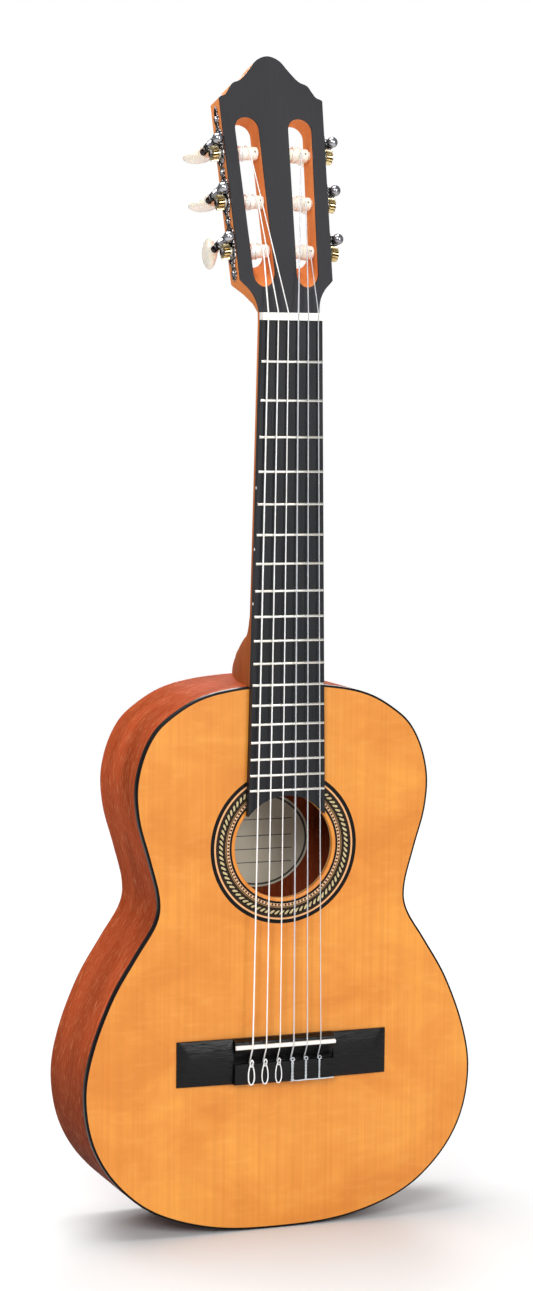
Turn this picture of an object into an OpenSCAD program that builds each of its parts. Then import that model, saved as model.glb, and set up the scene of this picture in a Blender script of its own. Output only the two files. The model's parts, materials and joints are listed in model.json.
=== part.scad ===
// Quarter-size classical guitar, standing upright: front faces -Y, neck points up +Z.
// The origin is at the tail of the body, on the centre line, half way through the depth.

/* [Body] */
// Length of the body from the tail to the neck joint
body_len = 371.5; // [360:0.5:385]
// Width of the lower bout
lower_bout = 279; // [265:1:295]
// Width of the upper bout
upper_bout = 209.5; // [200:0.5:220]
// Width of the waist
waist_w = 178.4; // [170:0.2:190]
// Depth of the body, front to back
body_depth = 78; // [70:1:90]
// Thickness of the soundboard
top_t = 2.5; // [2.2:0.1:3.5]
// Thickness of the back plate
back_t = 2.4; // [2:0.1:3.5]
// Thickness of the bent sides
side_t = 2; // [1.6:0.1:2.6]
// Width of the binding, seen from the front
binding_w = 1.5; // [1:0.1:1.6]
// Height of the binding on the side
binding_h = 4; // [3.6:0.1:6]

/* [Sound hole] */
// Height of the hole's centre above the tail
hole_z = 261.7; // [258:0.1:264]
// Radius of the sound hole
hole_r = 35; // [33:0.5:36]
// Inner radius of the rosette
rosette_in = 37.4; // [36.5:0.1:39]
// Outer radius of the rosette
rosette_out = 52.4; // [50:0.1:54]
// Depth of the rosette inlay
rosette_t = 1.2; // [0.8:0.1:1.6]

/* [Scale and fingerboard] */
// Vibrating string length, from nut to saddle
scale_len = 483; // [475:1:490]
// Height of the saddle line above the tail
bridge_z = 130; // [128:0.5:132]
// Width of the nut and of the fingerboard there
nut_w = 42.8; // [41:0.1:45]
// Growth of the fingerboard's width per millimetre down from the nut
board_taper = 0.0368; // [0.034:0.0002:0.04]
// Thickness of the fingerboard
board_t = 5; // [4.6:0.1:5.6]
// Number of frets
fret_count = 18; // [15:1:18]
// Thickness of the nut along the neck
nut_t = 5; // [4:0.1:5.5]

/* [Strings] */
// Distance from the first to the sixth string at the nut
nut_spread = 35.4; // [34:0.1:36.5]
// Distance from the first to the sixth string at the saddle
saddle_spread = 49.2; // [46:0.2:51]
// Radius of each string, first to sixth
string_r = [0.36, 0.42, 0.52, 0.42, 0.48, 0.56];
// Height of the string centres above the soundboard plane at the nut
nut_string_h = 6.9; // [6.6:0.1:7.2]

/* [Bridge] */
// Full width of the bridge across its wings
bridge_w = 151; // [145:1:156]
// Size of the bridge along the strings
bridge_len = 31; // [30:0.5:33]
// Width of the raised middle of the bridge
block_w = 72; // [68:0.5:75]
// Height of the tie block above the soundboard
tie_h = 7; // [6.6:0.1:7.4]
// Height of the saddle's crest above the soundboard
saddle_h = 9.3; // [9.1:0.1:10]

/* [Head] */
// Angle the head leans back
head_angle = 15; // [13:0.5:16]
// Thickness of the head with its face veneer
head_t = 18; // [17:0.5:19]
// Thickness of the face veneer
veneer_t = 1.8; // [1.4:0.1:2.2]
// Half the width of the head at its lower corners
head_low = 32.8; // [32:0.1:33.5]
// Half the width of the head at its upper corners
head_high = 36.8; // [36:0.1:37.6]

/* [Tuners] */
// Distance between neighbouring rollers
roller_pitch = 33.7; // [33:0.1:34]
// Radius of the string rollers
roller_r = 4.5; // [4:0.1:4.8]
// Radius of the roller's spindle through the head
spindle_r = 3; // [2.6:0.1:3.2]
// Radius of the worm shaft
shaft_r = 1.9; // [1.6:0.1:1.95]
// Radial running clearance of shafts in their bores
run_gap = 0.06; // [0.03:0.01:0.1]

/* [Hidden] */
$fn = 40;
front_y = -body_depth / 2;
back_y = body_depth / 2;
nut_z = bridge_z + scale_len;
head_z = nut_z + nut_t;
board_end_z = hole_z + 20.8;
lining_t = 5;
lining_h = 8;
block_span = 26;
// Lower and upper corner heights of the head, along its face.
low_s = 22.6;
high_s = 147.4;
flare = atan((head_high - head_low) / (high_s - low_s));
// Tuner stations, measured up each side of the head from its lower corner.
station = [21.1, 21.1 + roller_pitch, 21.1 + 2 * roller_pitch];
axle_d = 8.5;
plate_t = 1.2;
gear_u = 2.8;
gear_w = 4.4;
worm_u = gear_u + gear_w / 2;
// Tooth count and sizes of the worm drive.
gear_teeth = 14;
pitch_r = 4.7;
gear_tip_r = 5.2;
gear_root_r = 4.1;
worm_pitch_r = 2.8;
worm_tip_r = 3.25;
worm_root_r = 2.1;
drive_gap = pitch_r + worm_pitch_r;
tooth_pitch = 2 * PI * pitch_r / gear_teeth;
lead = atan(tooth_pitch / (2 * PI * worm_pitch_r));
// Where each string meets its roller, outward from the head's side, first to sixth.
meet_u = [-14, -15, -16.5, -18, -19.5, -19.5];
coil_turns = [6, 6, 5, 4, 4, 4];

// ---- Shared shapes ----

// Smooth curve through the inner points of a list, k steps for each span.
function between(a, b, c, d, t) = 0.5 * (2 * b + (c - a) * t
    + (2 * a - 5 * b + 4 * c - d) * t * t + (3 * b - a - 3 * c + d) * t * t * t);
function curve(p, k) = [for (i = [1:len(p) - 3]) for (j = [0:k - 1])
    between(p[i - 1], p[i], p[i + 1], p[i + 2], j / k)];

// Control points up the treble half of the body, tail to neck.
lb = lower_bout / 2;
ub = upper_bout / 2;
wb = waist_w / 2;
half_points = [
    [-0.34 * lb, 3.1], [0, 0], [0.34 * lb, 3.1], [0.64 * lb, 16.6], [0.84 * lb, 39],
    [0.96 * lb, 67], [lb, 100], [0.963 * lb, 131], [0.866 * lb, 165.5], [0.752 * lb, 192],
    [1.022 * wb, 214], [wb, 231], [0.915 * ub, 257], [0.985 * ub, 283], [ub - 0.2, 308],
    [0.928 * ub, 333], [0.79 * ub, 350.5], [0.5 * ub, 366], [0, body_len], [-0.5 * ub, 366]];
half_rim = curve(half_points, 4);
rim_points = concat(half_rim, [[0, body_len]],
    [for (i = [len(half_rim) - 1:-1:1]) [-half_rim[i][0], half_rim[i][1]]]);

// The body outline, drawn in by d all round.
function rim(d) = let (n = len(rim_points)) [for (i = [0:n - 1])
    let (t = rim_points[(i + 1) % n] - rim_points[(i + n - 1) % n])
    rim_points[i] + d * [-t[1], t[0]] / norm(t)];

// Turns a flat x-z drawing into a plate from y0 to y1.
module slab(y0, y1) {
    translate([0, y1, 0]) rotate([90, 0, 0]) linear_extrude(y1 - y0) children();
}

// Turns a flat y-z drawing into a bar from x0 to x1.
module bar(x0, x1) {
    translate([x0, 0, 0]) rotate([90, 0, 90]) linear_extrude(x1 - x0) children();
}

module rim_ring(d0, d1) {
    difference() {
        polygon(rim(d0));
        polygon(rim(d1));
    }
}

module hole_disc(r) {
    translate([0, hole_z]) circle(r, $fn = 72);
}

// Footprints of the two end blocks.
module block_area(tail) {
    translate([-block_span, tail ? -1 : body_len - 32]) square([2 * block_span, tail ? 15 : 40]);
}

function unit(v) = v / norm(v);

// Direction of a path's leg that starts at point i. An open path goes straight on past its ends.
function leg(p, i, closed) = let (n = len(p))
    closed ? unit(p[(i + 1) % n] - p[(i + n) % n])
    : unit(p[min(n - 1, max(1, i + 1))] - p[min(n - 2, max(0, i))]);

// At point i: the direction half way between its two legs, and how much wider the mitre is there.
function mitre(p, i, closed) = let (sum = leg(p, i - 1, closed) + leg(p, i, closed))
    [unit(sum), 1 / max(0.5, norm(sum) / 2)];

// A round wire swept along a list of points. ref lies across the plane the wire bends in.

module wire(p, r, ref, closed = false) {
    n = 8;
    m = len(p);
    polyhedron(
        points = [for (i = [0:m - 1])
            let (t = mitre(p, i, closed), u = unit(cross(t[0], ref)), v = cross(t[0], u))
            for (k = [0:n - 1]) p[i] + r * (t[1] * cos(45 * k) * u + sin(45 * k) * v)],
        faces = concat(
            closed ? [] : [[for (k = [0:n - 1]) k], [for (k = [n - 1:-1:0]) (m - 1) * n + k]],
            [for (i = [0:m - (closed ? 1 : 2)]) for (k = [0:n - 1]) for (f = [0, 1])
                let (j = (i + 1) % m, l = (k + 1) % n) f == 0
                ? [i * n + k, j * n + k, j * n + l]
                : [i * n + k, j * n + l, i * n + l]]));
}

// ---- Body ----

module soundboard() {
    color([0.93, 0.66, 0.35])
    difference() {
        slab(front_y, front_y + top_t) difference() {
            polygon(rim(binding_w));
            hole_disc(hole_r);
        }
        slab(front_y - 1, front_y + rosette_t) difference() {
            hole_disc(rosette_out);
            hole_disc(rosette_in);
        }
    }
}

module rosette() {
    color([0.2, 0.16, 0.12])
    slab(front_y, front_y + rosette_t) difference() {
        hole_disc(rosette_out);
        hole_disc(rosette_in);
    }
}

module soundhole_ring() {
    color([0.85, 0.68, 0.45])
    slab(front_y + top_t, front_y + top_t + 1.8) difference() {
        hole_disc(hole_r + 13);
        hole_disc(hole_r);
    }
}

module back_plate() {
    color([0.5, 0.2, 0.12])
    slab(back_y - back_t, back_y) polygon(rim(0));
}

module top_binding() {
    color([0.08, 0.08, 0.08])
    slab(front_y, front_y + binding_h) rim_ring(0, binding_w);
}

module side_half(x0) {
    color([0.6, 0.27, 0.16])
    slab(front_y + binding_h, back_y - back_t) intersection() {
        rim_ring(0, side_t);
        difference() {
            translate([x0, -5]) square([lower_bout, body_len + 10]);
            translate([-2.5, -5]) square([5, 25]);
        }
    }
}

module end_strip() {
    color([0.1, 0.09, 0.08])
    slab(front_y + binding_h, back_y - back_t) intersection() {
        rim_ring(0, side_t);
        translate([-2.5, -5]) square([5, 25]);
    }
}

module lining_ring(y0) {
    slab(y0, y0 + lining_h) difference() {
        rim_ring(side_t, side_t + lining_t);
        block_area(true);
        block_area(false);
    }
}

module linings() {
    color([0.8, 0.62, 0.4]) {
        lining_ring(front_y + top_t);
        lining_ring(back_y - back_t - lining_h);
    }
}

module end_block(tail) {
    color([0.78, 0.6, 0.38])
    slab(front_y + top_t, back_y - back_t) intersection() {
        polygon(rim(side_t));
        block_area(tail);
    }
}

// Two cross bars and five fanned struts under the soundboard.
module top_braces() {
    color([0.88, 0.72, 0.5]) {
        slab(front_y + top_t, front_y + top_t + 10) intersection() {
            polygon(rim(side_t + lining_t));
            union() {
                for (z = [hole_z - 54, hole_z + 56]) {
                    translate([-150, z - 4]) square([300, 8]);
                }
            }
        }
        slab(front_y + top_t, front_y + top_t + 4.5) intersection() {
            polygon(rim(side_t + lining_t + 3));
            translate([-150, 24]) square([300, hole_z - 58 - 24]);
            union() {
                for (a = [-24, -12, 0, 12, 24]) {
                    translate([0, 300]) rotate(a) translate([-2.5, -290]) square([5, 220]);
                }
            }
        }
    }
}

module back_braces() {
    color([0.85, 0.68, 0.46])
    slab(back_y - back_t - 11, back_y - back_t) intersection() {
        polygon(rim(side_t + lining_t));
        union() {
            for (z = [72, 178, 306]) {
                translate([-150, z - 4]) square([300, 8]);
            }
        }
    }
}

module back_center_strip() {
    color([0.75, 0.55, 0.35])
    slab(back_y - back_t - 1.5, back_y - back_t) {
        for (z = [[14, 68], [76, 174], [182, 219]]) {
            translate([-7, z[0]]) square([14, z[1] - z[0]]);
        }
        translate([-7, 310]) square([14, body_len - 32 - 310]);
    }
}

// Oval paper label glued inside the back, a little to the treble side.
module label() {
    color([0.9, 0.88, 0.8])
    slab(back_y - back_t - 0.4, back_y - back_t)
        polygon([for (a = [0:6:354]) [10 + 38 * cos(a), hole_z - 7.2 + 33.5 * sin(a)]]);
}

// ---- Neck ----

function board_half(z) = nut_w / 2 + board_taper / 2 * (nut_z - z);

// Half section of the neck at height z: p squares it off, depth d runs back from the front.
function neck_ring(z, w, d, p, limit) = [for (a = [0:15:180])
    [w * sign(cos(a)) * pow(abs(cos(a)), 2 / p),
    front_y + min(limit, d * pow(max(0, sin(a)), 2 / p)), z]];

// Depth and squareness of the neck where it runs into the head.
throat_d = 15.6;
throat_p = 2.35;

neck_rings = let (deep = body_depth - back_t, z = body_len) [
    for (s = [[-4, 90, 1.5], [4, 88, 1.5], [9, 84, 1.55], [15, 78, 1.6], [19.5, 68, 1.7],
        [24.3, 57, 1.8], [28.5, 45, 1.9], [31.5, 34, 2], [36, 26, 2.1], [43, 19.5, 2.2],
        [52, 16.8, 2.2], [120, 15.6, 2.25], [head_z - 30 - z, 14.8, 2.3],
        [head_z - 8 - z, 15, 2.3], [head_z - z, throat_d, throat_p]])
        neck_ring(z + s[0], board_half(z + s[0]) + max(0, s[0] + z - nut_z) * board_taper / 2,
            s[1], s[2], deep)];

// A skin over a stack of rings that all have the same number of points.
module loft(rings) {
    n = len(rings[0]);
    m = len(rings);
    polyhedron(
        points = [for (r = rings) for (q = r) q],
        faces = concat(
            [[for (i = [0:n - 1]) i]],
            [[for (i = [n - 1:-1:0]) (m - 1) * n + i]],
            [for (j = [0:m - 2]) for (i = [0:n - 1])
                let (k = (i + 1) % n) for (f = [[0, 1], [1, 0]])
                f[0] == 0 ? [j * n + i, (j + 1) * n + i, (j + 1) * n + k]
                : [j * n + i, (j + 1) * n + k, j * n + k]]));
}

module neck() {
    color([0.72, 0.4, 0.2])
    difference() {
        loft(neck_rings);
        slab(front_y - 1, back_y + 1) polygon(rim(0));
    }
}

// A tongue of the back's wood that covers the end of the heel.
module heel_cap() {
    color([0.55, 0.22, 0.12])
    slab(back_y - back_t, back_y) difference() {
        polygon([for (a = [0:10:350]) [9.4 * cos(a), body_len + 16.2 * sin(a)]]);
        polygon(rim(0));
    }
}

module dot_pins() {
    for (n = [4.5, 6.5, 8.5]) {
        z = bridge_z + scale_len * (pow(2, -floor(n) / 12) + pow(2, -ceil(n) / 12)) / 2;
        translate([-board_half(z) - 0.05, front_y - board_t / 2, z]) rotate([0, 90, 0])
            cylinder(r = 1, h = 1.4, $fn = 24);
    }
}

module fingerboard() {
    color([0.13, 0.12, 0.13])
    difference() {
        slab(front_y - board_t, front_y) difference() {
            polygon([[-board_half(board_end_z), board_end_z], [board_half(board_end_z), board_end_z],
                [nut_w / 2, nut_z], [-nut_w / 2, nut_z]]);
            hole_disc(hole_r);
        }
        dot_pins();
    }
}

module side_dots() {
    color([0.95, 0.95, 0.92]) dot_pins();
}

module frets() {
    color([0.8, 0.78, 0.72])
    for (n = [1:fret_count]) {
        z = bridge_z + scale_len * pow(2, -n / 12);
        translate([0, front_y - board_t, z]) bar(0.3 - board_half(z), board_half(z) - 0.3)
            intersection() {
                translate([0.4, 0]) circle(1.25, $fn = 24);
                translate([-2, -2]) square([2, 4]);
            }
    }
}

// ---- Head ----

// Places things on the leaning head: x across, y into the thickness, z up the face.
module head() {
    translate([0, front_y, head_z]) rotate([-head_angle, 0, 0]) children();
}

crown = curve([[-8, 174.4], [0, 177.3], [8, 174.4], [13.8, 167.6], [20.5, 160.4],
    [26.6, 157.6], [29.6, 153.4], [32.4, 149.6], [head_high, high_s], [head_high + 1, 143]], 4);
throat = curve([[head_low + 6, 32], [head_low, low_s], [26.8, 16.2], [23, 9.4],
    [nut_w / 2, 1.5], [nut_w / 2, -6]], 4);
half_head = concat(crown, [[head_high, high_s]], throat, [[nut_w / 2, 1.5], [nut_w / 2, -8]]);

module head_outline() {
    polygon(concat(half_head, [for (i = [len(half_head) - 1:-1:1]) [-half_head[i][0], half_head[i][1]]]));
}

// One slot through the head, with a long ramp rising to the face at its lower end.
module slot_cut() {
    ramp = 47.7;
    translate([15.7, 0, 36]) rotate([0, 2.05, 0]) {
        translate([0, head_t + 2, 0]) rotate([90, 0, 0]) linear_extrude(head_t + 4) {
            polygon([[-7.95, 14], [7.95, 14], [8.6, 90], [-8.6, 90]]);
            translate([0, 90]) circle(8.6);
        }
        translate([0, 0, -8.1]) rotate([ramp, 0, 0]) {
            rotate([90, 0, 0]) cylinder(r = 7.9, h = 90, center = true);
            translate([-7.9, -45, 0]) cube([15.8, 90, 15]);
        }
    }
}

// Drops the part of the head below the nut's upper face.
module above_nut() {
    difference() {
        children();
        translate([-60, -100, head_z - 60]) cube([120, 200, 60]);
    }
}

// The side frame: x out from the head's side, y into the thickness, z up the side.
module at_side(bass) {
    mirror([bass ? 1 : 0, 0, 0]) head() translate([head_low, 0, low_s]) rotate([0, flare, 0]) children();
}

module tuner_bores() {
    for (bass = [true, false]) at_side(bass) for (v = station) {
        translate([-20, axle_d, v]) rotate([0, 90, 0]) cylinder(r = spindle_r + run_gap, h = 30);
        translate([-31.6, axle_d, v]) rotate([0, 90, 0]) cylinder(r = 2 + run_gap, h = 20);
    }
}

// Sections that round the back of the head's lowest part, from the neck's shape to the full block.
throat_rings = [
    for (s = [[-1, nut_w / 2, throat_d, throat_p], [0, nut_w / 2, throat_d, throat_p],
        [6, 24.4, 18.8, 2.9], [12, 29.5, 21.9, 4.5], [18, 36, 24.6, 8], [26, 46, 32, 20],
        [36, 60, 90, 30], [200, 60, 90, 30]])
        neck_ring(head_z + s[0], s[1], s[2], s[3], s[2])];

module headstock() {
    color([0.78, 0.43, 0.2])
    above_nut() difference() {
        intersection() {
            head() difference() {
                translate([0, head_t, 0]) rotate([90, 0, 0]) linear_extrude(head_t - veneer_t)
                    head_outline();
                slot_cut();
                mirror([1, 0, 0]) slot_cut();
            }
            loft(throat_rings);
        }
        tuner_bores();
    }
}

module head_veneer() {
    color([0.2, 0.2, 0.21])
    above_nut() head() difference() {
        translate([0, veneer_t, 0]) rotate([90, 0, 0]) linear_extrude(veneer_t) head_outline();
        slot_cut();
        mirror([1, 0, 0]) slot_cut();
    }
}

// ---- Nut, bridge and strings ----

function nut_x(i) = nut_spread * (0.5 - (i - 1) / 5);
function saddle_x(i) = saddle_spread * (0.5 - (i - 1) / 5);
function saddle_y(i) = front_y - saddle_h - 1.03 * string_r[i - 1] - 0.08;
function hole_y() = front_y - 4.2;

module nut() {
    color([0.96, 0.95, 0.9])
    difference() {
        slab(front_y - nut_string_h - 0.4, front_y)
            translate([-nut_w / 2, nut_z]) square([nut_w, nut_t]);
        for (i = [1:6]) {
            r = string_r[i - 1] + 0.06;
            translate([nut_x(i), front_y - nut_string_h + 0.03, nut_z - 1]) {
                cylinder(r = r, h = nut_t + 2, $fn = 24);
                translate([-r, -3, 0]) cube([2 * r, 3, nut_t + 2]);
            }
        }
    }
}

module bridge() {
    z0 = bridge_z + 3 - bridge_len;
    wing = bridge_w / 2;
    half = block_w / 2;
    color([0.07, 0.07, 0.07]) {
        for (side = [-1, 1]) translate([0, front_y, z0]) linear_extrude(bridge_len)
            polygon([[side * half, 0], [side * half, -4.2], [side * (wing - 7.5), -3.2],
                [side * wing, -0.9], [side * wing, 0]]);
        difference() {
            translate([0, front_y, bridge_z]) bar(-half, half)
                polygon([[0, 3], [-2.6, 3], [-3.6, 2.2], [-5, 2], [-6.8, 1.2], [-tie_h, -4.4],
                    [-5.6, -5.6], [-2.6, -12.4], [-2.6, -13.8], [-tie_h, -13.8],
                    [-tie_h, 4.2 - bridge_len], [-tie_h + 1, 3 - bridge_len], [0, 3 - bridge_len]]);
            translate([-half - 1, front_y - 12, bridge_z - 3.6]) cube([block_w + 2, 8.5, 2.8]);
            for (i = [1:6]) {
                translate([saddle_x(i), hole_y(), z0 - 1]) cylinder(r = 0.95, h = bridge_len - 10, $fn = 24);
            }
        }
    }
}

module saddle() {
    color([0.97, 0.96, 0.92])
    translate([0, front_y, bridge_z - 2.2]) bar(-block_w / 2 + 0.1, block_w / 2 - 0.1) {
        translate([1.4 - saddle_h, 0]) circle(1.4, $fn = 24);
        translate([1.4 - saddle_h, -1.4]) square([saddle_h - 1.4 - 3.5, 2.8]);
    }
}

// Centre of string i where it leaves its roller, in the side frame.
function meet(i) = [meet_u[i - 1], axle_d - roller_r - 3.2 * string_r[i - 1] - 0.25,
    station[i > 3 ? 6 - i : i - 1]];

// The same point in the frame of the whole guitar.
function to_head(q) = [head_low + q[0] * cos(flare) + q[2] * sin(flare), q[1],
    low_s - q[0] * sin(flare) + q[2] * cos(flare)];
function to_world(q, bass) = [(bass ? -1 : 1) * q[0],
    front_y + q[1] * cos(head_angle) + q[2] * sin(head_angle),
    head_z - q[1] * sin(head_angle) + q[2] * cos(head_angle)];

// Bass strings end in a tied loop, treble strings in a twist, both on the tie block.
loop_points = [[0, 2.4], [-1.2, 5], [-2.1, 8.6], [-1.9, 12.4], [-1.1, 14.6], [0, 15.2],
    [1.1, 14.6], [1.9, 12.4], [2.1, 8.6], [1.2, 5]];

module string(i) {
    r = string_r[i - 1];
    x = saddle_x(i);
    tie_z = bridge_z - 13.8;
    low_z = bridge_z + 3 - bridge_len;
    lie_y = front_y - tie_h - r - 0.1;
    color(i > 3 ? [0.85, 0.85, 0.83] : [0.8, 0.78, 0.74]) {
        wire([to_world(to_head(meet(i)), i > 3),
            [nut_x(i), front_y - nut_string_h, head_z + 0.2],
            [nut_x(i), front_y - nut_string_h, nut_z - 0.2],
            [x, saddle_y(i), bridge_z - 2.2], [x, hole_y(), tie_z + 1],
            [x, hole_y(), low_z - 0.9]], r, [1, 0, 0]);
        if (i > 3) {
            wire([for (q = loop_points) [x + q[0], lie_y, tie_z + 2 - q[1]]], r, [0, 1, 0], true);
        } else {
            wire([for (k = [0:12]) [x + 0.6 * sin(90 * k), lie_y, tie_z - 0.4 - 1.15 * k]], r, [0, 1, 0]);
        }
    }
}

// ---- Tuners ----

// Outline of the pierced side plate, drawn in depth and height.
module plate_shape() {
    difference() {
        union() {
            for (v = station) {
                translate([2, v - 6]) square([13, 19]);
                translate([axle_d, v - 6]) circle(5.2);
                translate([axle_d, v + 13]) circle(5.2);
            }
            translate([axle_d - 2.2, 6]) square([4.4, 110]);
            for (v = [6.5, 42, 75.8, 112.4, 118]) {
                translate([axle_d, v]) circle(v > 115 ? 2.6 : 3.8);
            }
        }
        for (v = station) {
            translate([axle_d, v]) circle(spindle_r + run_gap);
            for (d = [-4.6, 4.6]) {
                translate([axle_d + d, v - 4.4]) circle(1);
            }
            translate([axle_d, v + 14.6]) circle(1.4);
            translate([axle_d, v - 7.8]) circle(1.2);
        }
        for (v = [6.5, 42, 75.8, 112.4]) {
            translate([axle_d, v]) circle(1.1);
        }
    }
}

module tuner_plate(bass) {
    color([0.78, 0.78, 0.8])
    at_side(bass) {
        bar(0, plate_t) plate_shape();
        for (v = station) for (d = [2, 13.2]) {
            difference() {
                translate([worm_u, d, v + drive_gap]) rotate([-90, 0, 0]) {
                    cylinder(r = 3.1, h = 1.8);
                    translate([-worm_u + plate_t, -3.1, 0]) cube([worm_u - plate_t, 6.2, 1.8]);
                }
                translate([worm_u, d - 1, v + drive_gap]) rotate([-90, 0, 0])
                    cylinder(r = shaft_r + run_gap, h = 4);
            }
        }
    }
}

// Round-headed slotted screws that hold the plates.
module tuner_screws() {
    color([0.75, 0.75, 0.77])
    for (bass = [true, false]) at_side(bass) for (v = [6.5, 42, 75.8, 112.4]) {
        translate([plate_t, axle_d, v]) rotate([0, 90, 0]) difference() {
            cylinder(r1 = 1.9, r2 = 1.4, h = 0.9, $fn = 24);
            translate([-2, -0.25, 0.5]) cube([4, 0.5, 1]);
        }
    }
}

// Runs the children at tuner i's station in the side frame.
module at_tuner(i) {
    at_side(i > 3) translate([0, 0, meet(i)[2]]) children();
}

// A one-start thread along y. Its valley is at y = 0 where it faces the gear, so a tooth fits there.
// Each line of corners follows the helix: valley foot, two crest corners, valley foot.
function helix_point(m, k, n, turns) = let (a = 360 * m / n,
    y = tooth_pitch * (m / n - turns / 2) + [-0.62, -0.23, 0.23, 0.62][k],
    r = k == 0 || k == 3 ? worm_root_r : worm_tip_r)
    [-r * sin(a), y, -r * cos(a)];

module thread() {
    n = 18;
    turns = 3;
    last = n * turns;
    reach = tooth_pitch * turns / 2 + 0.9;
    line = last + 1;
    ends = 4 * line;
    far = 3 * line + last - n;
    polyhedron(
        points = concat(
            [for (k = [0:3]) for (m = [0:last]) helix_point(m, k, n, turns)],
            [for (y = [-reach, reach]) for (i = [0:n - 1])
                [-worm_root_r * sin(360 * i / n), y, -worm_root_r * cos(360 * i / n)]]),
        faces = concat(
            [for (k = [0:2]) for (m = [0:last - 1]) for (f = [0, 1]) f == 0
                ? [(k + 1) * line + m + 1, k * line + m + 1, k * line + m]
                : [(k + 1) * line + m, (k + 1) * line + m + 1, k * line + m]],
            [for (m = [0:last - n - 1]) for (f = [0, 1]) f == 0
                ? [m + n + 1, 3 * line + m + 1, 3 * line + m]
                : [m + n, m + n + 1, 3 * line + m]],
            [for (i = [0:n - 2]) [i, i + 1, ends + i + 1, ends + i]],
            [for (q = [[n - 1, n], [n, 3 * line], [3 * line, 0], [0, ends]]) [ends + n - 1, q[0], q[1]]],
            [[3 * line, 2 * line, line, 0]],
            [for (i = [1:n - 1]) [ends + n + i, ends + n + (i + 1) % n,
                far + i + 1, far + i]],
            [for (q = [[far + 1, far], [far, last], [last, far + n], [far + n, ends + n]])
                [ends + n + 1, q[0], q[1]]],
            [[line + last, 2 * line + last, 3 * line + last, last]],
            [[for (i = [0:n - 1]) ends + i]],
            [[for (i = [n - 1:-1:0]) ends + n + i]]));
}

module worm(i) {
    color([0.75, 0.76, 0.78])
    at_tuner(i) translate([worm_u, axle_d, drive_gap]) {
        thread();
        // Shaft from the round front cap back to the button.
        translate([0, -8, 0]) rotate([-90, 0, 0]) cylinder(r = shaft_r, h = 34);
        intersection() {
            translate([0, -9.6, 0]) sphere(3.7);
            translate([-5, -14, -5]) cube([10, 7.2, 10]);
        }
        translate([0, 6.7, 0]) rotate([-90, 0, 0]) {
            cylinder(r = 3, h = 2.2);
            translate([0, 0, 2.2]) cylinder(r = 2.3, h = 2.4);
            translate([0, 0, 4.6]) cylinder(r = 2.9, h = 1.6);
            translate([0, 0, 6.2]) cylinder(r = 2.3, h = 7);
        }
    }
}

// Lens-shaped oval button on the shaft's end.
module button(i) {
    color([0.95, 0.92, 0.86])
    at_tuner(i) translate([worm_u, axle_d + 19.9, drive_gap]) rotate([0, i == 6 ? 90 : 0, 0])
    difference() {
        intersection() {
            translate([0, 0, -3.6]) linear_extrude(7.2) {
                for (s = [-1, 1]) translate([s * 2.8, 10.2]) circle(8);
                translate([-2.8, 2.2]) square([5.6, 16]);
                translate([-3.6, 0]) square([7.2, 5]);
            }
            translate([0, -1, 16.4]) rotate([-90, 0, 0]) cylinder(r = 20, h = 22, $fn = 72);
            translate([0, -1, -16.4]) rotate([-90, 0, 0]) cylinder(r = 20, h = 22, $fn = 72);
        }
        translate([0, -1, 0]) rotate([-90, 0, 0]) cylinder(r = shaft_r + 0.02, h = 8);
    }
}

module gear(i) {
    color([0.85, 0.66, 0.3])
    at_tuner(i) translate([gear_u, axle_d, 0]) {
        rotate([0, 90, 0]) cylinder(r = gear_root_r, h = gear_w);
        for (t = [0:gear_teeth - 1]) rotate([t * 360 / gear_teeth, 0, 0]) intersection() {
            translate([gear_w / 2, 0, 0]) rotate([0, 0, -lead]) bar(-4, 4)
                polygon([[-0.68, gear_root_r - 0.5], [0.68, gear_root_r - 0.5],
                    [0.25, gear_tip_r], [-0.25, gear_tip_r]]);
            translate([0, -2, 0]) cube([gear_w, 4, 8]);
        }
        translate([gear_w, 0, 0]) rotate([0, 90, 0]) difference() {
            cylinder(r1 = 2.5, r2 = 1.9, h = 1.2, $fn = 24);
            translate([-3, -0.3, 0.6]) cube([6, 0.6, 1]);
        }
    }
}

// String roller: bearing pin, barrel, spindle out to the gear, and the wound string.
module roller(i) {
    r = string_r[i - 1];
    w = 2 * r;
    inward = i > 3 ? 0 : coil_turns[i - 1] * w;
    color([0.94, 0.92, 0.88])
    at_tuner(i) translate([0, axle_d, 0]) rotate([0, 90, 0]) {
        translate([0, 0, -31]) cylinder(r = 2, h = 8);
        difference() {
            translate([0, 0, -24.9]) cylinder(r = roller_r, h = 14.6);
            translate([-6, 0, i > 3 ? -22.6 : -12.6]) rotate([0, 90, 0]) cylinder(r = 0.8, h = 12, $fn = 16);
        }
        translate([0, 0, -11]) cylinder(r = spindle_r, h = 11 + gear_u);
        translate([0, 0, meet_u[i - 1] - r - inward + (i > 3 ? 0 : w)]) rotate_extrude()
            for (k = [0:coil_turns[i - 1] - 1]) translate([0, k * w])
                polygon([[roller_r - 0.6, 0], [roller_r, 0], [roller_r + 0.8 * w, 0.22 * w],
                    [roller_r + 0.8 * w, 0.78 * w], [roller_r, w], [roller_r - 0.6, w]]);
    }
}

// ---- Drawing ----

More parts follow.
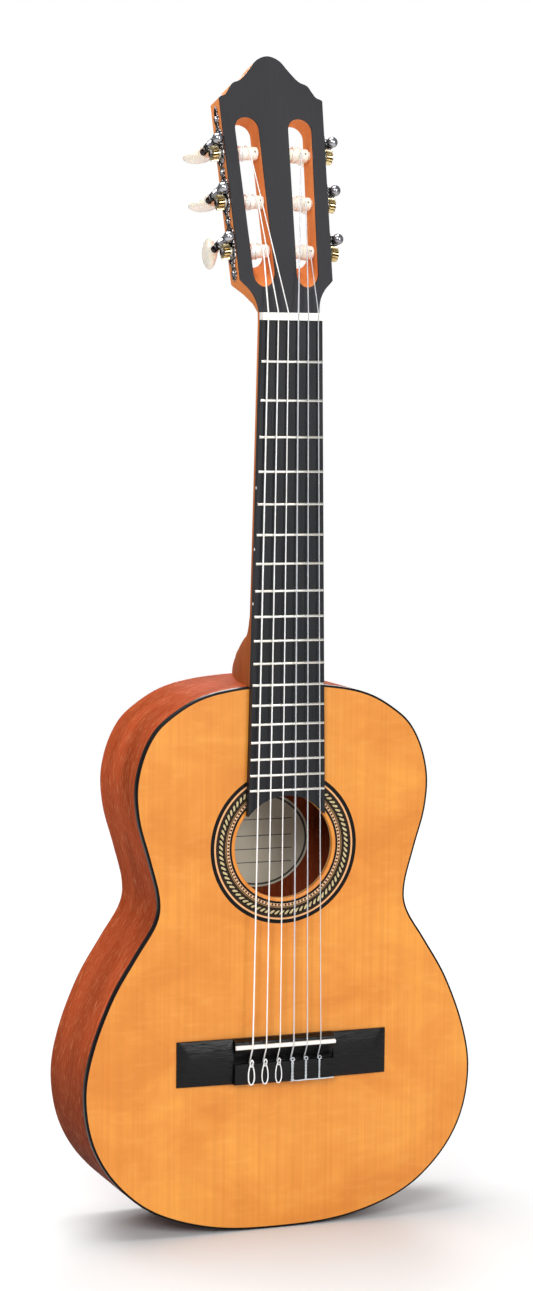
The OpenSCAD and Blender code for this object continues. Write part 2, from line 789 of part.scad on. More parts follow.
soundboard();
back_plate();
side_half(-lower_bout);  // side_bass
side_half(0);  // side_treble
top_binding();
rosette();
soundhole_ring();
top_braces();
back_braces();
back_center_strip();
linings();
end_block(false);  // neck_block
end_block(true);  // tail_block
end_strip();
label();
neck();
heel_cap();
headstock();
head_veneer();
fingerboard();
frets();
side_dots();
nut();
bridge();
saddle();
tuner_plate(true);  // tuner_plate_bass
tuner_plate(false);  // tuner_plate_treble
tuner_screws();
string(1);  // string_1
string(2);  // string_2
string(3);  // string_3
string(4);  // string_4
string(5);  // string_5
string(6);  // string_6
worm(1);  // worm_1
worm(2);  // worm_2
worm(3);  // worm_3
worm(4);  // worm_4
worm(5);  // worm_5
worm(6);  // worm_6
button(1);  // button_1
button(2);  // button_2
button(3);  // button_3
button(4);  // button_4
button(5);  // button_5
button(6);  // button_6
gear(1);  // gear_1
gear(2);  // gear_2
gear(3);  // gear_3
gear(4);  // gear_4
gear(5);  // gear_5
gear(6);  // gear_6
roller(1);  // roller_1
roller(2);  // roller_2
roller(3);  // roller_3
roller(4);  // roller_4
roller(5);  // roller_5
roller(6);  // roller_6
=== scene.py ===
import json
import math

import bmesh
import bpy
from mathutils import Matrix, Vector

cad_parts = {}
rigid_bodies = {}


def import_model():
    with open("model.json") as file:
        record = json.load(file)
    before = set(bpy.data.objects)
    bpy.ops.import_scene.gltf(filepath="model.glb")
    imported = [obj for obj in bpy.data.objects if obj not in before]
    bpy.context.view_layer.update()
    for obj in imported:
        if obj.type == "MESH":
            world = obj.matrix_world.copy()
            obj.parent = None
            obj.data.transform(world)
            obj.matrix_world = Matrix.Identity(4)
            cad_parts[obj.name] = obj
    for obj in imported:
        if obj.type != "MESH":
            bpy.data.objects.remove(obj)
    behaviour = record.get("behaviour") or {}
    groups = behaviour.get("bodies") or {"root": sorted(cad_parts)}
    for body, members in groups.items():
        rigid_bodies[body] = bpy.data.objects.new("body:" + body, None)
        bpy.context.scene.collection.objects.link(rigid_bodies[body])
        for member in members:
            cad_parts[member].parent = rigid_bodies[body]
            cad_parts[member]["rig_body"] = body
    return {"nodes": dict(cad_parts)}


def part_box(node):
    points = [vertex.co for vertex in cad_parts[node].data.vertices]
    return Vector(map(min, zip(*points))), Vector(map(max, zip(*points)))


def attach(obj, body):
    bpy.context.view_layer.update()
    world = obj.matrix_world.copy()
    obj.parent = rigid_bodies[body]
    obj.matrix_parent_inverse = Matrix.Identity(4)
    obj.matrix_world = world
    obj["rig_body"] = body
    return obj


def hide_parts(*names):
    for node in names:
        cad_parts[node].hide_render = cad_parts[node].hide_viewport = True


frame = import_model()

# A quarter-size classical guitar standing on its tail: front towards -Y, treble side +X, Z up.
# Lengths are in millimetres, and turn into metres where a mesh is made; the staging is in metres.
MM = 0.001
TURN = 2 * math.pi
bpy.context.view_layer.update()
nodes = frame["nodes"]
scene = bpy.context.scene


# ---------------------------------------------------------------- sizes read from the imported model
def box_mm(name):
    """Low and high corner of a CAD node."""
    low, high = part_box(name)
    return Vector(low) / MM, Vector(high) / MM


FRONT = box_mm("soundboard")[0].y
BACK = box_mm("back_plate")[1].y
BODY_LEN = box_mm("back_plate")[1].z
NUT_Z, HEAD_Z = (corner.z for corner in box_mm("nut"))
BRIDGE_LOW, BRIDGE_HIGH = (corner.z for corner in box_mm("bridge"))
ROSETTE_LOW, ROSETTE_HIGH = (corner.z for corner in box_mm("rosette"))
HOLE_Z = (ROSETTE_LOW + ROSETTE_HIGH) / 2
ROSETTE_OUT = (ROSETTE_HIGH - ROSETTE_LOW) / 2

# ---------------------------------------------------------------- sizes shared with the CAD source
SADDLE_Z = BRIDGE_HIGH - 3
KNOT_Z = SADDLE_Z - 12.4
HOLE_R = 35.0
ROSETTE_IN = 37.4
INLAY_DEEP = 1.2
TOP_THICK = 2.5
BACK_THICK = 2.4
SIDE_THICK = 2
BINDING_WIDE, BINDING_DEEP = 1.5, 4
FRETS = 18
BLOCK_HALF, WING_END = 36, 75.5
TIE_TOP = FRONT - 7.0
# At the nut and at the saddle: distance between the outer strings, and height over the front.
NUT_SPREAD, SADDLE_SPREAD = 35.4, 49.2
NUT_RISE, SADDLE_RISE = 6.9, 9.3
STRING_R = [0.36, 0.42, 0.52, 0.42, 0.48, 0.56]
# Tuners, in the side frame described below: where each string reaches its roller, its turns on it,
# the place of the hole that its end goes into, and the heights of the three rollers of a side.
MEET_U = [-14, -15, -16.5, -18, -19.5, -19.5]
COIL_TURNS = [6, 6, 5, 4, 4, 4]
TREBLE_HOLE_U, BASS_HOLE_U = -12.6, -22.6
STATIONS = [21.1, 54.8, 88.5]
AXLE_D = 8.5
ROLLER_R = 4.5
# The worm's axis lies this far out from the head's side and this far up from the roller's axis.
WORM_U = 5.0
DRIVE_GAP = 7.5
PITCH_R, TEETH = 4.7, 14
BUTTON_FOOT = 19.9
GEAR_FOOT, GEAR_FACE = 2.8, 7.2
ROOT_R = 4.1

# Side frame of the head: u out from the head's side, d into its thickness, v up its side.
HEAD_TILT = math.radians(-15)
HEAD_FOOT = (32.8, 0, 22.6)
FLARE = math.atan(4 / 124.8)
HEAD = Matrix.Translation((0, FRONT, HEAD_Z)) @ Matrix.Rotation(HEAD_TILT, 4, "X")
SIDE = HEAD @ Matrix.Translation(HEAD_FOOT) @ Matrix.Rotation(FLARE, 4, "Y")
MIRROR = Matrix.Scale(-1, 4, (1, 0, 0))


def is_bass(i):
    """Strings 4 to 6 are wound, and their tuners are on the bass side."""
    return i > 3


def side_frame(bass):
    """The side frame, mirrored for the bass side."""
    return MIRROR @ SIDE if bass else SIDE


def tuner_frame(i):
    """Side frame with its origin at tuner i's station."""
    row = 6 - i if is_bass(i) else i - 1
    return side_frame(is_bass(i)) @ Matrix.Translation((0, 0, STATIONS[row]))


# ---------------------------------------------------------------- node materials
materials = {}  # by name, filled by new_material
EDGE_TINT = (0.16, 0.16, 0.17, 1)  # of the metals


def feed(tree, socket, value):
    """Links a socket to another one, or sets it to a plain value."""
    if isinstance(value, bpy.types.NodeSocket):
        tree.links.new(value, socket)
    else:
        socket.default_value = value


def add(tree, kind, inputs=(), **settings):
    """A new shader node with its settings, and its inputs by name or number."""
    n = tree.nodes.new(kind)
    for key, value in settings.items():
        setattr(n, key, value)
    for key, value in dict(inputs).items():
        feed(tree, n.inputs[key], value)
    return n


def rgb(code):
    """Linear colour of a hex code, by the sRGB curve."""
    parts = [int(code[k : k + 2], 16) / 255 for k in (0, 2, 4)]
    return [c / 12.92 if c <= 0.04045 else ((c + 0.055) / 1.055) ** 2.4 for c in parts] + [1]


def new_material(name, **shader):
    """Starts a material; shader holds plain values for its Principled inputs."""
    m = bpy.data.materials.new(name)
    m.use_nodes = True
    bsdf = m.node_tree.nodes["Principled BSDF"]
    for key, value in shader.items():
        bsdf.inputs[key.replace("_", " ")].default_value = value
    materials[name] = m
    return m.node_tree, bsdf


def coordinates(tree):
    """Object coordinates in metres."""
    return add(tree, "ShaderNodeTexCoord").outputs["Object"]


def place(tree, cells):
    """Object coordinates scaled to a number of cells per metre on each axis."""
    return add(tree, "ShaderNodeMapping", {"Vector": coordinates(tree), "Scale": cells}).outputs[0]


def noise(tree, cells, detail=3.0, rough=0.55, distort=0.0):
    """Noise from 0 to 1 with a number of cells per metre on each axis."""
    inputs = {"Vector": place(tree, cells), "Scale": 1.0, "Detail": detail, "Roughness": rough,
              "Distortion": distort}
    return add(tree, "ShaderNodeTexNoise", inputs).outputs["Fac"]


def ramp(tree, value, stops, smooth=True):
    """Colour ramp, smooth or in steps; stops are (place, colour or grey)."""
    n = add(tree, "ShaderNodeValToRGB", {"Fac": value})
    n.color_ramp.interpolation = "LINEAR" if smooth else "CONSTANT"
    while len(n.color_ramp.elements) < len(stops):
        n.color_ramp.elements.new(0.5)
    for e, (at, c) in zip(n.color_ramp.elements, stops):
        e.position = at
        e.color = c if hasattr(c, "__len__") else (c, c, c, 1)
    return n.outputs["Color"]


def mix(tree, fac, a, b):
    """Colour a where fac is 0, b where it is 1; 0, 6 and 7 are the node's factor and colour inputs."""
    return add(tree, "ShaderNodeMix", {0: fac, 6: a, 7: b}, data_type="RGBA").outputs[2]


def calc(tree, operation, *values):
    """One step of arithmetic on sockets and numbers."""
    return add(tree, "ShaderNodeMath", enumerate(values), operation=operation).outputs[0]


def within(tree, value, middle, half):
    """1 where the value is less than half away from the middle, else 0."""
    return calc(tree, "LESS_THAN", calc(tree, "ABSOLUTE", calc(tree, "SUBTRACT", value, middle)), half)


def from_centre(tree, centre, half=(1, 1)):
    """x, z and distance from a centre, as multiples of half on each axis."""
    axes = add(tree, "ShaderNodeSeparateXYZ", {0: coordinates(tree)}).outputs
    x, z = (calc(tree, "DIVIDE", calc(tree, "SUBTRACT", calc(tree, "MULTIPLY", axes[k], 1 / MM), c), h)
            for k, c, h in zip((0, 2), centre, half))
    squares = calc(tree, "ADD", calc(tree, "MULTIPLY", x, x), calc(tree, "MULTIPLY", z, z))
    return x, z, calc(tree, "SQRT", squares)


def paint(tree, bsdf, colour, roughness=None):
    """Drives the surface's colour and, where given, its roughness."""
    feed(tree, bsdf.inputs["Base Color"], colour)
    if roughness is not None:
        feed(tree, bsdf.inputs["Roughness"], roughness)


def bump(tree, bsdf, height, distance):
    """Relief of a height that runs from 0 to 1, its full depth given in millimetres."""
    n = add(tree, "ShaderNodeBump", {"Height": height, "Distance": distance * MM, "Strength": 1.0})
    feed(tree, bsdf.inputs["Normal"], n.outputs[0])


def wood(name, tones, grain, cloud, pores, relief, streak, roughness, shade_by_height=None, glints=None,
         **shader):
    """Timber in three tones (light, dark, pore): broad clouds, fibre streaks and open pores.

    grain and cloud are cells per metre on each axis; pores and streak are the strength of those marks.
    The shade tuple (share, full, none) is painted shade, darker towards the bottom: the pore's tone
    mixed in by that share up to the height full, and not at all above none, both in metres.
    glints is (colour, share, cells): short fibres that catch the light.
    """
    t, b = new_material(name, **shader)
    light, dark, pore = map(rgb, tones)
    fibre = noise(t, grain, 4, 0.6)
    broad = noise(t, cloud, 2, 0.5, distort=0.4)
    fleck = noise(t, [2.1 * g for g in grain], 2, 0.5)
    body = mix(t, ramp(t, broad, [(0.32, 0.0), (0.7, 1.0)]), light, dark)
    # Painted shade: the wood takes the pore's tone towards the bottom.
    if shade_by_height:
        share, full, none = shade_by_height
        height = add(t, "ShaderNodeSeparateXYZ", {0: coordinates(t)}).outputs[2]
        body = mix(t, ramp(t, height, [(full, share), (none, 0.0)]), body, pore)
    streaks = ramp(t, fibre, [(0.36, 1.0), (0.62, 0.0)])
    lined = mix(t, calc(t, "MULTIPLY", streaks, streak), body, dark)
    if glints:
        colour, share, cells = glints
        spark = ramp(t, noise(t, cells, 3, 0.6), [(0.56, 0.0), (0.68, share)])
        lined = mix(t, spark, lined, rgb(colour))
    open_pore = ramp(t, fleck, [(0.60, 0.0), (0.70, 1.0)])
    paint(t, b, mix(t, calc(t, "MULTIPLY", open_pore, pores), lined, pore),
          ramp(t, broad, [(0.2, roughness - 0.05), (0.8, roughness + 0.06)]))
    bump(t, b, calc(t, "SUBTRACT", fibre, calc(t, "MULTIPLY", open_pore, 0.8)), relief)


def metal(name, tones, roughness, cells=(900, 900, 900)):
    """Plated metal with faint handling marks, and clouds of a light and a dark tone that paint
    reflections.
    """
    t, b = new_material(name, Metallic=1.0, Specular_Tint=EDGE_TINT)
    marks = noise(t, cells, 4, 0.7)
    # Painted reflection: a cloud between the light and the dark tone.
    cloud = ramp(t, noise(t, [c / 7 for c in cells], 2), [(0.35, 0.0), (0.7, 1.0)])
    paint(t, b, mix(t, cloud, *map(rgb, tones)),
          ramp(t, marks, [(0.3, roughness), (0.75, roughness + 0.16)]))
    bump(t, b, marks, 0.012)


def plastic(name, tones, roughness, relief, cells, **shader):
    """Moulded or polished plastic with a slight tone change and a fine skin."""
    t, b = new_material(name, **shader)
    cloud = ramp(t, noise(t, [c / 4 for c in cells], 2), [(0.3, 0.0), (0.7, 1.0)])
    skin = noise(t, cells, 4, 0.65)
    paint(t, b, mix(t, cloud, *map(rgb, tones)),
          ramp(t, skin, [(0.3, roughness), (0.75, roughness + 0.12)]))
    bump(t, b, skin, relief)


def engraved():
    """Cast plate with a leafy relief: bright ridges, tarnished hollows, and marbled light and dark that
    paint reflections.
    """
    t, b = new_material("plate_silver", Metallic=1.0, Roughness=0.25, Specular_Tint=EDGE_TINT)
    cells = (430, 430, 300)
    leaf = add(t, "ShaderNodeTexVoronoi", {"Vector": place(t, cells), "Scale": 1.0, "Randomness": 0.9},
               feature="DISTANCE_TO_EDGE").outputs["Distance"]
    wave = noise(t, cells, 3, 0.6, distort=1.5)
    height = calc(t, "ADD", ramp(t, leaf, [(0.03, 0.0), (0.22, 1.0)]), calc(t, "MULTIPLY", wave, 0.8))
    # Dark in the hollows, where the plate is tarnished; the marbled light and dark elsewhere is painted
    # reflection.
    tarnish_and_reflection = [(0.2, rgb("3A3838")), (0.5, rgb("8C8A8C")), (0.72, rgb("E4E4E8"))]
    paint(t, b, ramp(t, calc(t, "MULTIPLY", height, 0.55), tarnish_and_reflection))
    bump(t, b, height, 0.25)


def spruce_top():
    """Amber lacquered spruce: annual lines up the board, a little silk across, soft clouds."""
    t, b = new_material("spruce_top", Coat_Weight=0.15, Coat_Roughness=0.25, Specular_IOR_Level=0.3)
    lines = noise(t, (520, 10, 5), 3, 0.6)
    silk = noise(t, (60, 20, 240), 3, 0.6)
    cloud = noise(t, (16, 16, 22), 3, 0.55, distort=0.6)
    base = mix(t, ramp(t, cloud, [(0.34, 0.0), (0.66, 1.0)]), rgb("E7993D"), rgb("D6822D"))
    year = calc(t, "MULTIPLY", ramp(t, lines, [(0.38, 1.0), (0.60, 0.0)]), 0.22)
    sheen = calc(t, "MULTIPLY", ramp(t, silk, [(0.52, 0.0), (0.75, 1.0)]), 0.16)
    paint(t, b, mix(t, sheen, mix(t, year, base, rgb("C06C1E")), rgb("F2B45C")),
          ramp(t, cloud, [(0.2, 0.30), (0.8, 0.40)]))
    bump(t, b, lines, 0.02)


def rosette_inlay():
    """Rings of dyed veneer: a rope band of slanting dashes outside a fine dotted band."""
    dashes, rope_middle, rope_half = 80.0, 45.0, 1.3
    dots, dot_middle, dot_half = 104.0, 39.85, 0.72
    t, b = new_material("rosette_inlay", Roughness=0.4, Specular_IOR_Level=0.15)
    x, z, radius = from_centre(t, (0, HOLE_Z))
    turn = calc(t, "DIVIDE", calc(t, "ARCTAN2", z, x), TURN)
    band = calc(t, "SUBTRACT", radius, rope_middle)
    slant = calc(t, "ADD", calc(t, "MULTIPLY", turn, dashes), calc(t, "MULTIPLY", band, 0.25))
    waist = calc(t, "ADD", 0.42, calc(t, "MULTIPLY", calc(t, "MULTIPLY", band, band), 0.1))
    dash_on = calc(t, "MULTIPLY", calc(t, "GREATER_THAN", calc(t, "FRACT", slant), waist),
                   within(t, radius, rope_middle, rope_half))
    step = calc(t, "FRACT", calc(t, "MULTIPLY", turn, dots))
    dot_on = calc(t, "MULTIPLY", calc(t, "GREATER_THAN", step, 0.48),
                  within(t, radius, dot_middle, dot_half))
    fibre = noise(t, (700, 700, 700))
    black, dark, tan, amber = map(rgb, ("060505", "2A1C10", "E4BC90", "F0B27A"))
    rings = [(ROSETTE_IN, black), (38.9, tan), (40.8, dark), (41.4, rgb("B58C58")), (41.75, dark),
             (43.4, black), (46.6, dark), (48.5, amber), (49.75, black)]
    span = ROSETTE_OUT - ROSETTE_IN
    ringed = ramp(t, calc(t, "DIVIDE", calc(t, "SUBTRACT", radius, ROSETTE_IN), span),
                  [((r - ROSETTE_IN) / span, c) for r, c in rings], smooth=False)
    roped = mix(t, dash_on, ringed, mix(t, fibre, rgb("E2D3A4"), rgb("B89F6C")))
    dotted = mix(t, dot_on, roped, rgb("4E0E08"))
    paint(t, b, mix(t, calc(t, "MULTIPLY", fibre, 0.25), dotted, black))
    bump(t, b, calc(t, "ADD", fibre, dash_on), 0.012)


def label_oval():
    """Middle and half size of the label in x and z."""
    low, high = box_mm("label")
    return ((low.x + high.x) / 2, (low.z + high.z) / 2), ((high.x - low.x) / 2, (high.z - low.z) / 2)


def label_paper():
    """Aged paper with a border line near its edge and four plain rules; it carries no writing."""
    t, b = new_material("label_paper", Roughness=0.85)
    x, z, radius = from_centre(t, *label_oval())
    paper = mix(t, noise(t, (40, 40, 40)), rgb("FFF8E4"), rgb("F0E4CA"))
    ink = ramp(t, radius, [(0.0, 0.0), (0.915, 1.0), (0.955, 0.0)], smooth=False)
    short = within(t, x, 0, 0.66)
    for height in (0.42, 0.08, -0.2, -0.48):
        ink = calc(t, "MAXIMUM", ink, calc(t, "MULTIPLY", within(t, z, height, 0.008), short))
    paint(t, b, mix(t, calc(t, "MULTIPLY", ink, 0.9), paper, rgb("26211C")))
    bump(t, b, noise(t, (900, 900, 900), 5, 0.7), 0.02)


def wound_string():
    """Silver-plated winding: fine ridges along the string and a soft shine."""
    t, b = new_material("wound_string", Metallic=0.45, Roughness=0.35)
    inputs = {"Vector": place(t, (0, 0, 1)), "Scale": 620.0, "Distortion": 0.3}
    rib = add(t, "ShaderNodeTexWave", inputs, wave_type="BANDS", bands_direction="Z").outputs["Fac"]
    age = ramp(t, noise(t, (60, 60, 30)), [(0.35, 0.0), (0.75, 1.0)])
    paint(t, b, mix(t, age, rgb("FFFFFF"), rgb("F0EEE8")))
    bump(t, b, rib, 0.05)


def pearl():
    """Pearly cellulose: swirled bands of milk white, with a soft coat."""
    t, b = new_material("pearl_button", Roughness=0.22, Coat_Weight=0.5, Coat_Roughness=0.12,
                        Subsurface_Weight=0.15, Subsurface_Scale=0.004)
    swirl = noise(t, (110, 70, 110), 4, 0.6, distort=2.6)
    paint(t, b, ramp(t, swirl, [(0.3, rgb("FFF9EE")), (0.5, rgb("F6EAD6")), (0.7, rgb("FFFEF8"))]))
    bump(t, b, swirl, 0.02)


MAHOGANY = ("BC5430", "8E3C1E", "451407")
spruce_top()
# The sides and back darken towards the tail: painted shade.
wood("side_wood", MAHOGANY, (14, 700, 14), (9, 30, 9),
     pores=0.55, relief=0.04, streak=0.5, roughness=0.5, shade_by_height=(0.97, 0.045, 0.15),
     glints=("DC9468", 0.55, (130, 1500, 130)), Specular_IOR_Level=0.003)
wood("back_wood", MAHOGANY, (700, 30, 14), (60, 20, 2.5),
     pores=0.55, relief=0.04, streak=0.5, roughness=0.4, shade_by_height=(0.5, 0.02, 0.3),
     glints=("D08A5E", 0.4, (1500, 130, 130)), Specular_IOR_Level=0.12)
wood("pale_wood", ("D9B27C", "BE9158", "8A6236"), (500, 500, 60), (25, 25, 12),
     pores=0.3, relief=0.05, streak=0.4, roughness=0.65)
# The head is the neck's timber in lighter tones: painted light on the head and in its slots.
wood("head_wood", ("F4A062", "DC8248", "9A4A1E"), (520, 520, 16), (26, 26, 8),
     pores=0.4, relief=0.03, streak=0.45, roughness=0.45, Specular_IOR_Level=0.01)
# The neck darkens towards its heel: painted shade.
wood("neck_wood", ("EA9458", "CE743C", "743010"), (520, 520, 16), (26, 26, 8),
     pores=0.4, relief=0.03, streak=0.45, roughness=0.45, shade_by_height=(0.8, 0.42, 0.61),
     Specular_IOR_Level=0.01)
wood("dark_board", ("222327", "18191C", "08080A"), (560, 300, 14), (30, 30, 9),
     pores=0.5, relief=0.05, streak=0.6, roughness=0.42, Specular_IOR_Level=0.2)
wood("black_veneer", ("343437", "2E2E31", "1E1E20"), (600, 300, 18), (20, 20, 10),
     pores=0.25, relief=0.02, streak=0.35, roughness=0.5, Specular_IOR_Level=0.22)
wood("black_bridge", ("08080A", "040405", "020202"), (60, 400, 900), (12, 30, 40),
     pores=0.6, relief=0.22, streak=0.5, roughness=0.27, Specular_IOR_Level=0.24)
plastic("black_binding", ("070708", "0D0D0E"), 0.3, 0.01, (200, 200, 200), Specular_IOR_Level=0.12)
plastic("white_plastic", ("FBFAF4", "F1EEE3"), 0.28, 0.012, (500, 500, 500),
        Subsurface_Weight=0.1, Subsurface_Scale=0.002)
plastic("roller_plastic", ("FFFAF0", "F8EEDF"), 0.32, 0.02, (700, 700, 700),
        Subsurface_Weight=0.15, Subsurface_Scale=0.003)
pearl()
metal("fret_metal", ("FFFCF4", "F1EBDD"), 0.3, (60, 900, 900))
# The chrome's light and dark tones are painted reflections.
metal("chrome_plate", ("C2C2C7", "7C7C82"), 0.12, (500, 500, 500))
metal("dark_steel", ("6A6664", "2E2B2A"), 0.25)
engraved()
metal("brass_gear", ("FFF0C8", "DCC388"), 0.2)
# Dark brass for the floors between the gear's teeth: painted shade.
metal("brass_in_painted_shade", ("5A4420", "30220E"), 0.4)
plastic("nylon_string", ("F2F4F7", "E4E7EC"), 0.15, 0.004, (900, 900, 300),
        Transmission_Weight=0.5, IOR=1.5)
plastic("nylon_twist", ("D8DEE2", "B6BEC4"), 0.15, 0.004, (900, 900, 300))
plastic("nylon_coil", ("FFF8EC", "F2E8D8"), 0.25, 0.01, (900, 900, 900))
wound_string()
rosette_inlay()
label_paper()


# ---------------------------------------------------------------- mesh building
SMOOTH = 35  # degrees between faces, below which they are shaded round


def dress(mesh, material):
    """Puts one material, or each of a list, on a mesh by name, and returns the names."""
    used = [material] if isinstance(material, str) else material
    for key in used:
        mesh.materials.append(materials[key])
    return used


def finish_piece(obj, smooth, bevel):
    """Shades round below an angle between faces, and rounds sharp edges by a width."""
    mesh = obj.data
    mesh.shade_smooth()
    mesh.set_sharp_from_angle(angle=math.radians(smooth))
    if bevel:
        b = obj.modifiers.new("edges", "BEVEL")
        b.width = bevel * MM
        b.segments = 3
        b.limit_method = "ANGLE"
        b.angle_limit = math.radians(32)
        b.harden_normals = True


def build(name, verts, faces, material, *, slot, body="guitar", stands_for=(), frame_of=Matrix(),
          smooth=SMOOTH, bevel=0.0, split=None):
    """A mesh piece from points in millimetres, riding on a CAD body.

    frame_of places the points. split(centre) numbers a face's material by its centre before that.
    """
    mesh = bpy.data.meshes.new(name)
    mesh.from_pydata([frame_of @ Vector(v) * MM for v in verts], [], faces)
    obj = bpy.data.objects.new(name, mesh)
    scene.collection.objects.link(obj)
    dress(mesh, material)
    if split:
        for face, corners in zip(mesh.polygons, faces):
            total = sum((Vector(verts[k]) for k in corners), Vector())
            face.material_index = split(total / len(corners))
    bm = bmesh.new()
    bm.from_mesh(mesh)
    bmesh.ops.remove_doubles(bm, verts=bm.verts, dist=2e-6)
    bmesh.ops.recalc_face_normals(bm, faces=bm.faces)
    bm.to_mesh(mesh)
    bm.free()
    finish_piece(obj, smooth, bevel)
    if stands_for:
        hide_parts(*stands_for)
    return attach(obj, body)


def refine(node, material, bevel, split=None):
    """A copy of a CAD node with welded corners, rounded edges and its finish, in place of the node.

    split(centre) numbers a face's material by its centre.
    """
    src = nodes[node]
    mesh = src.data.copy()
    mesh.name = "fine_" + node
    if "custom_normal" in mesh.attributes:
        mesh.attributes.remove(mesh.attributes["custom_normal"])
    mesh.materials.clear()
    used = dress(mesh, material)
    bm = bmesh.new()
    bm.from_mesh(mesh)
    bmesh.ops.remove_doubles(bm, verts=bm.verts, dist=1e-6)
    bmesh.ops.dissolve_limit(bm, angle_limit=math.radians(0.6), verts=bm.verts, edges=bm.edges)
    for f in bm.faces:
        f.material_index = split(f.calc_center_median() / MM) if split else 0
    bm.to_mesh(mesh)
    bm.free()
    obj = bpy.data.objects.new("fine_" + node, mesh)
    scene.collection.objects.link(obj)
    finish_piece(obj, SMOOTH, bevel)
    body = src["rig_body"]
    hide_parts(node)
    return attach(obj, body)


def join_parts(*parts):
    """Puts several (points, faces) parts together."""
    verts, faces = [], []
    for v, f in parts:
        n = len(verts)
        verts += list(v)
        faces += [[k + n for k in face] for face in f]
    return verts, faces


def spline(points, k, closed=False):
    """Smooth curve through the points, k steps for each span."""
    n = len(points)
    out = []
    for i in range(n if closed else n - 1):
        near = [(i + j) % n if closed else min(n - 1, max(0, i + j)) for j in (-1, 0, 1, 2)]
        p = [Vector(points[m]) for m in near]
        slope = p[2] - p[0]
        square = 2 * p[0] - 5 * p[1] + 4 * p[2] - p[3]
        cube = 3 * p[1] - p[0] - 3 * p[2] + p[3]
        for t in [j / k for j in range(k)]:
            out.append(0.5 * (2 * p[1] + slope * t + square * t * t + cube * t ** 3))
    return out if closed else out + [Vector(points[-1])]


def grid(rows, closed_rows=False, closed_cols=False, caps=False):
    """Faces over rows of points of equal length."""
    n, m = len(rows), len(rows[0])
    verts = [p for r in rows for p in r]
    faces = []
    for i in range(n if closed_rows else n - 1):
        for j in range(m if closed_cols else m - 1):
            a, b = i, (i + 1) % n
            c, d = j, (j + 1) % m
            faces.append([a * m + c, a * m + d, b * m + d, b * m + c])
    if caps:
        faces += [list(range(m))[::-1], [(n - 1) * m + j for j in range(m)]]
    return verts, faces


def solid(rows):
    """Closed skin over rings of points."""
    return grid(rows, closed_cols=True, caps=True)


def lathe(profile, sides=40):
    """Turns (radius, place along the axis) points round the d axis of a side frame."""
    angles = [TURN * k / sides for k in range(sides)]
    return solid([[(r * math.cos(a), at, r * math.sin(a)) for a in angles] for r, at in profile])


def across(part):
    """Turns a lathed part so that its axis runs out along u."""
    verts, faces = part
    return [(v[1], v[0], v[2]) for v in verts], faces


def tube(path, radius, sides=12, closed=False):
    """Round section swept along a path, without twist."""
    path = [Vector(p) for p in path]
    n = len(path)
    angles = [TURN * k / sides for k in range(sides)]
    rows = []
    normal = None
    for i, p in enumerate(path):
        ahead = path[(i + 1) % n] if closed or i < n - 1 else p
        behind = path[i - 1] if closed or i else p
        along = (ahead - behind).normalized()
        if normal is None:
            normal = along.orthogonal().normalized()
        normal = (normal - along * normal.dot(along)).normalized()
        other = along.cross(normal)
        rows.append([p + radius * (normal * math.cos(a) + other * math.sin(a)) for a in angles])
    return grid(rows, closed_rows=closed, closed_cols=True, caps=not closed)


def filleted(points, r):
    """Path with each inner corner rounded over a length r, in five steps."""
    k = 5
    points = [Vector(p) for p in points]
    out = [points[0]]
    for a, b, c in zip(points, points[1:], points[2:]):
        cut = min(r, (b - a).length * 0.45, (c - b).length * 0.45)
        start, end = b + (a - b).normalized() * cut, b + (c - b).normalized() * cut
        out += [start.lerp(b, t / k).lerp(b.lerp(end, t / k), t / k) for t in range(k + 1)]
    return out + [points[-1]]


# ---------------------------------------------------------------- body
MIDDLE = Vector((0, BODY_LEN / 2))


def body_rim():
    """The body's outline in x and z, anticlockwise from the neck, four times finer than the CAD's."""
    seen = {}
    for v in nodes["back_plate"].data.vertices:
        p = v.co / MM
        if p.y > BACK - 0.01:
            seen[(round(p.x, 2), round(p.z, 2))] = Vector((p.x, p.z))
    ring = sorted(seen.values(), key=lambda p: math.atan2(p.x - MIDDLE.x, MIDDLE.y - p.y))
    half = max(p.x for p in ring)
    return [Vector((max(-half, min(half, p.x)), max(0.0, min(BODY_LEN, p.y))))
            for p in spline(ring, 4, closed=True)]


RIM = body_rim()
everywhere = range(len(RIM))


def inward(i):
    """Direction into the body, square to the rim."""
    along = (RIM[(i + 1) % len(RIM)] - RIM[i - 1]).normalized()
    return Vector((-along.y, along.x))


INWARD = [inward(i) for i in everywhere]


def rim_point(i, d, y):
    """A point at distance d in from the rim and at depth y."""
    p = RIM[i] + INWARD[i] * d
    return (p.x, y, p.y)


def rim_sweep(profile, indices, closed=False):
    """Sweeps a section of (distance in from the rim, y) points along the rim."""
    rows = [[rim_point(i, d, y) for d, y in profile] for i in indices]
    return grid(rows, closed_rows=closed, closed_cols=True, caps=not closed)


def circle(r, y):
    """A ring of points about the sound hole's centre."""
    angles = [TURN * k / 144 for k in range(144)]
    return [(r * math.sin(a), y, HOLE_Z - r * math.cos(a)) for a in angles]


def flat_between(*loops):
    """Triangles filling the flat space inside the first loop and outside the others."""
    bm = bmesh.new()
    edges = []
    for loop in loops:
        vs = [bm.verts.new(p) for p in loop]
        edges += [bm.edges.new((vs[k], vs[(k + 1) % len(vs)])) for k in range(len(vs))]
    bmesh.ops.triangle_fill(bm, use_beauty=True, use_dissolve=False, edges=edges)
    bm.verts.index_update()
    part = [tuple(v.co) for v in bm.verts], [[v.index for v in f.verts] for f in bm.faces]
    bm.free()
    return part


# The two sides, with the end strip between them at the tail.
STRIP_HALF = 3.2
strip = sorted([i for i in everywhere if abs(RIM[i].x) < STRIP_HALF and RIM[i].y < MIDDLE.y],
               key=lambda i: RIM[i].x)


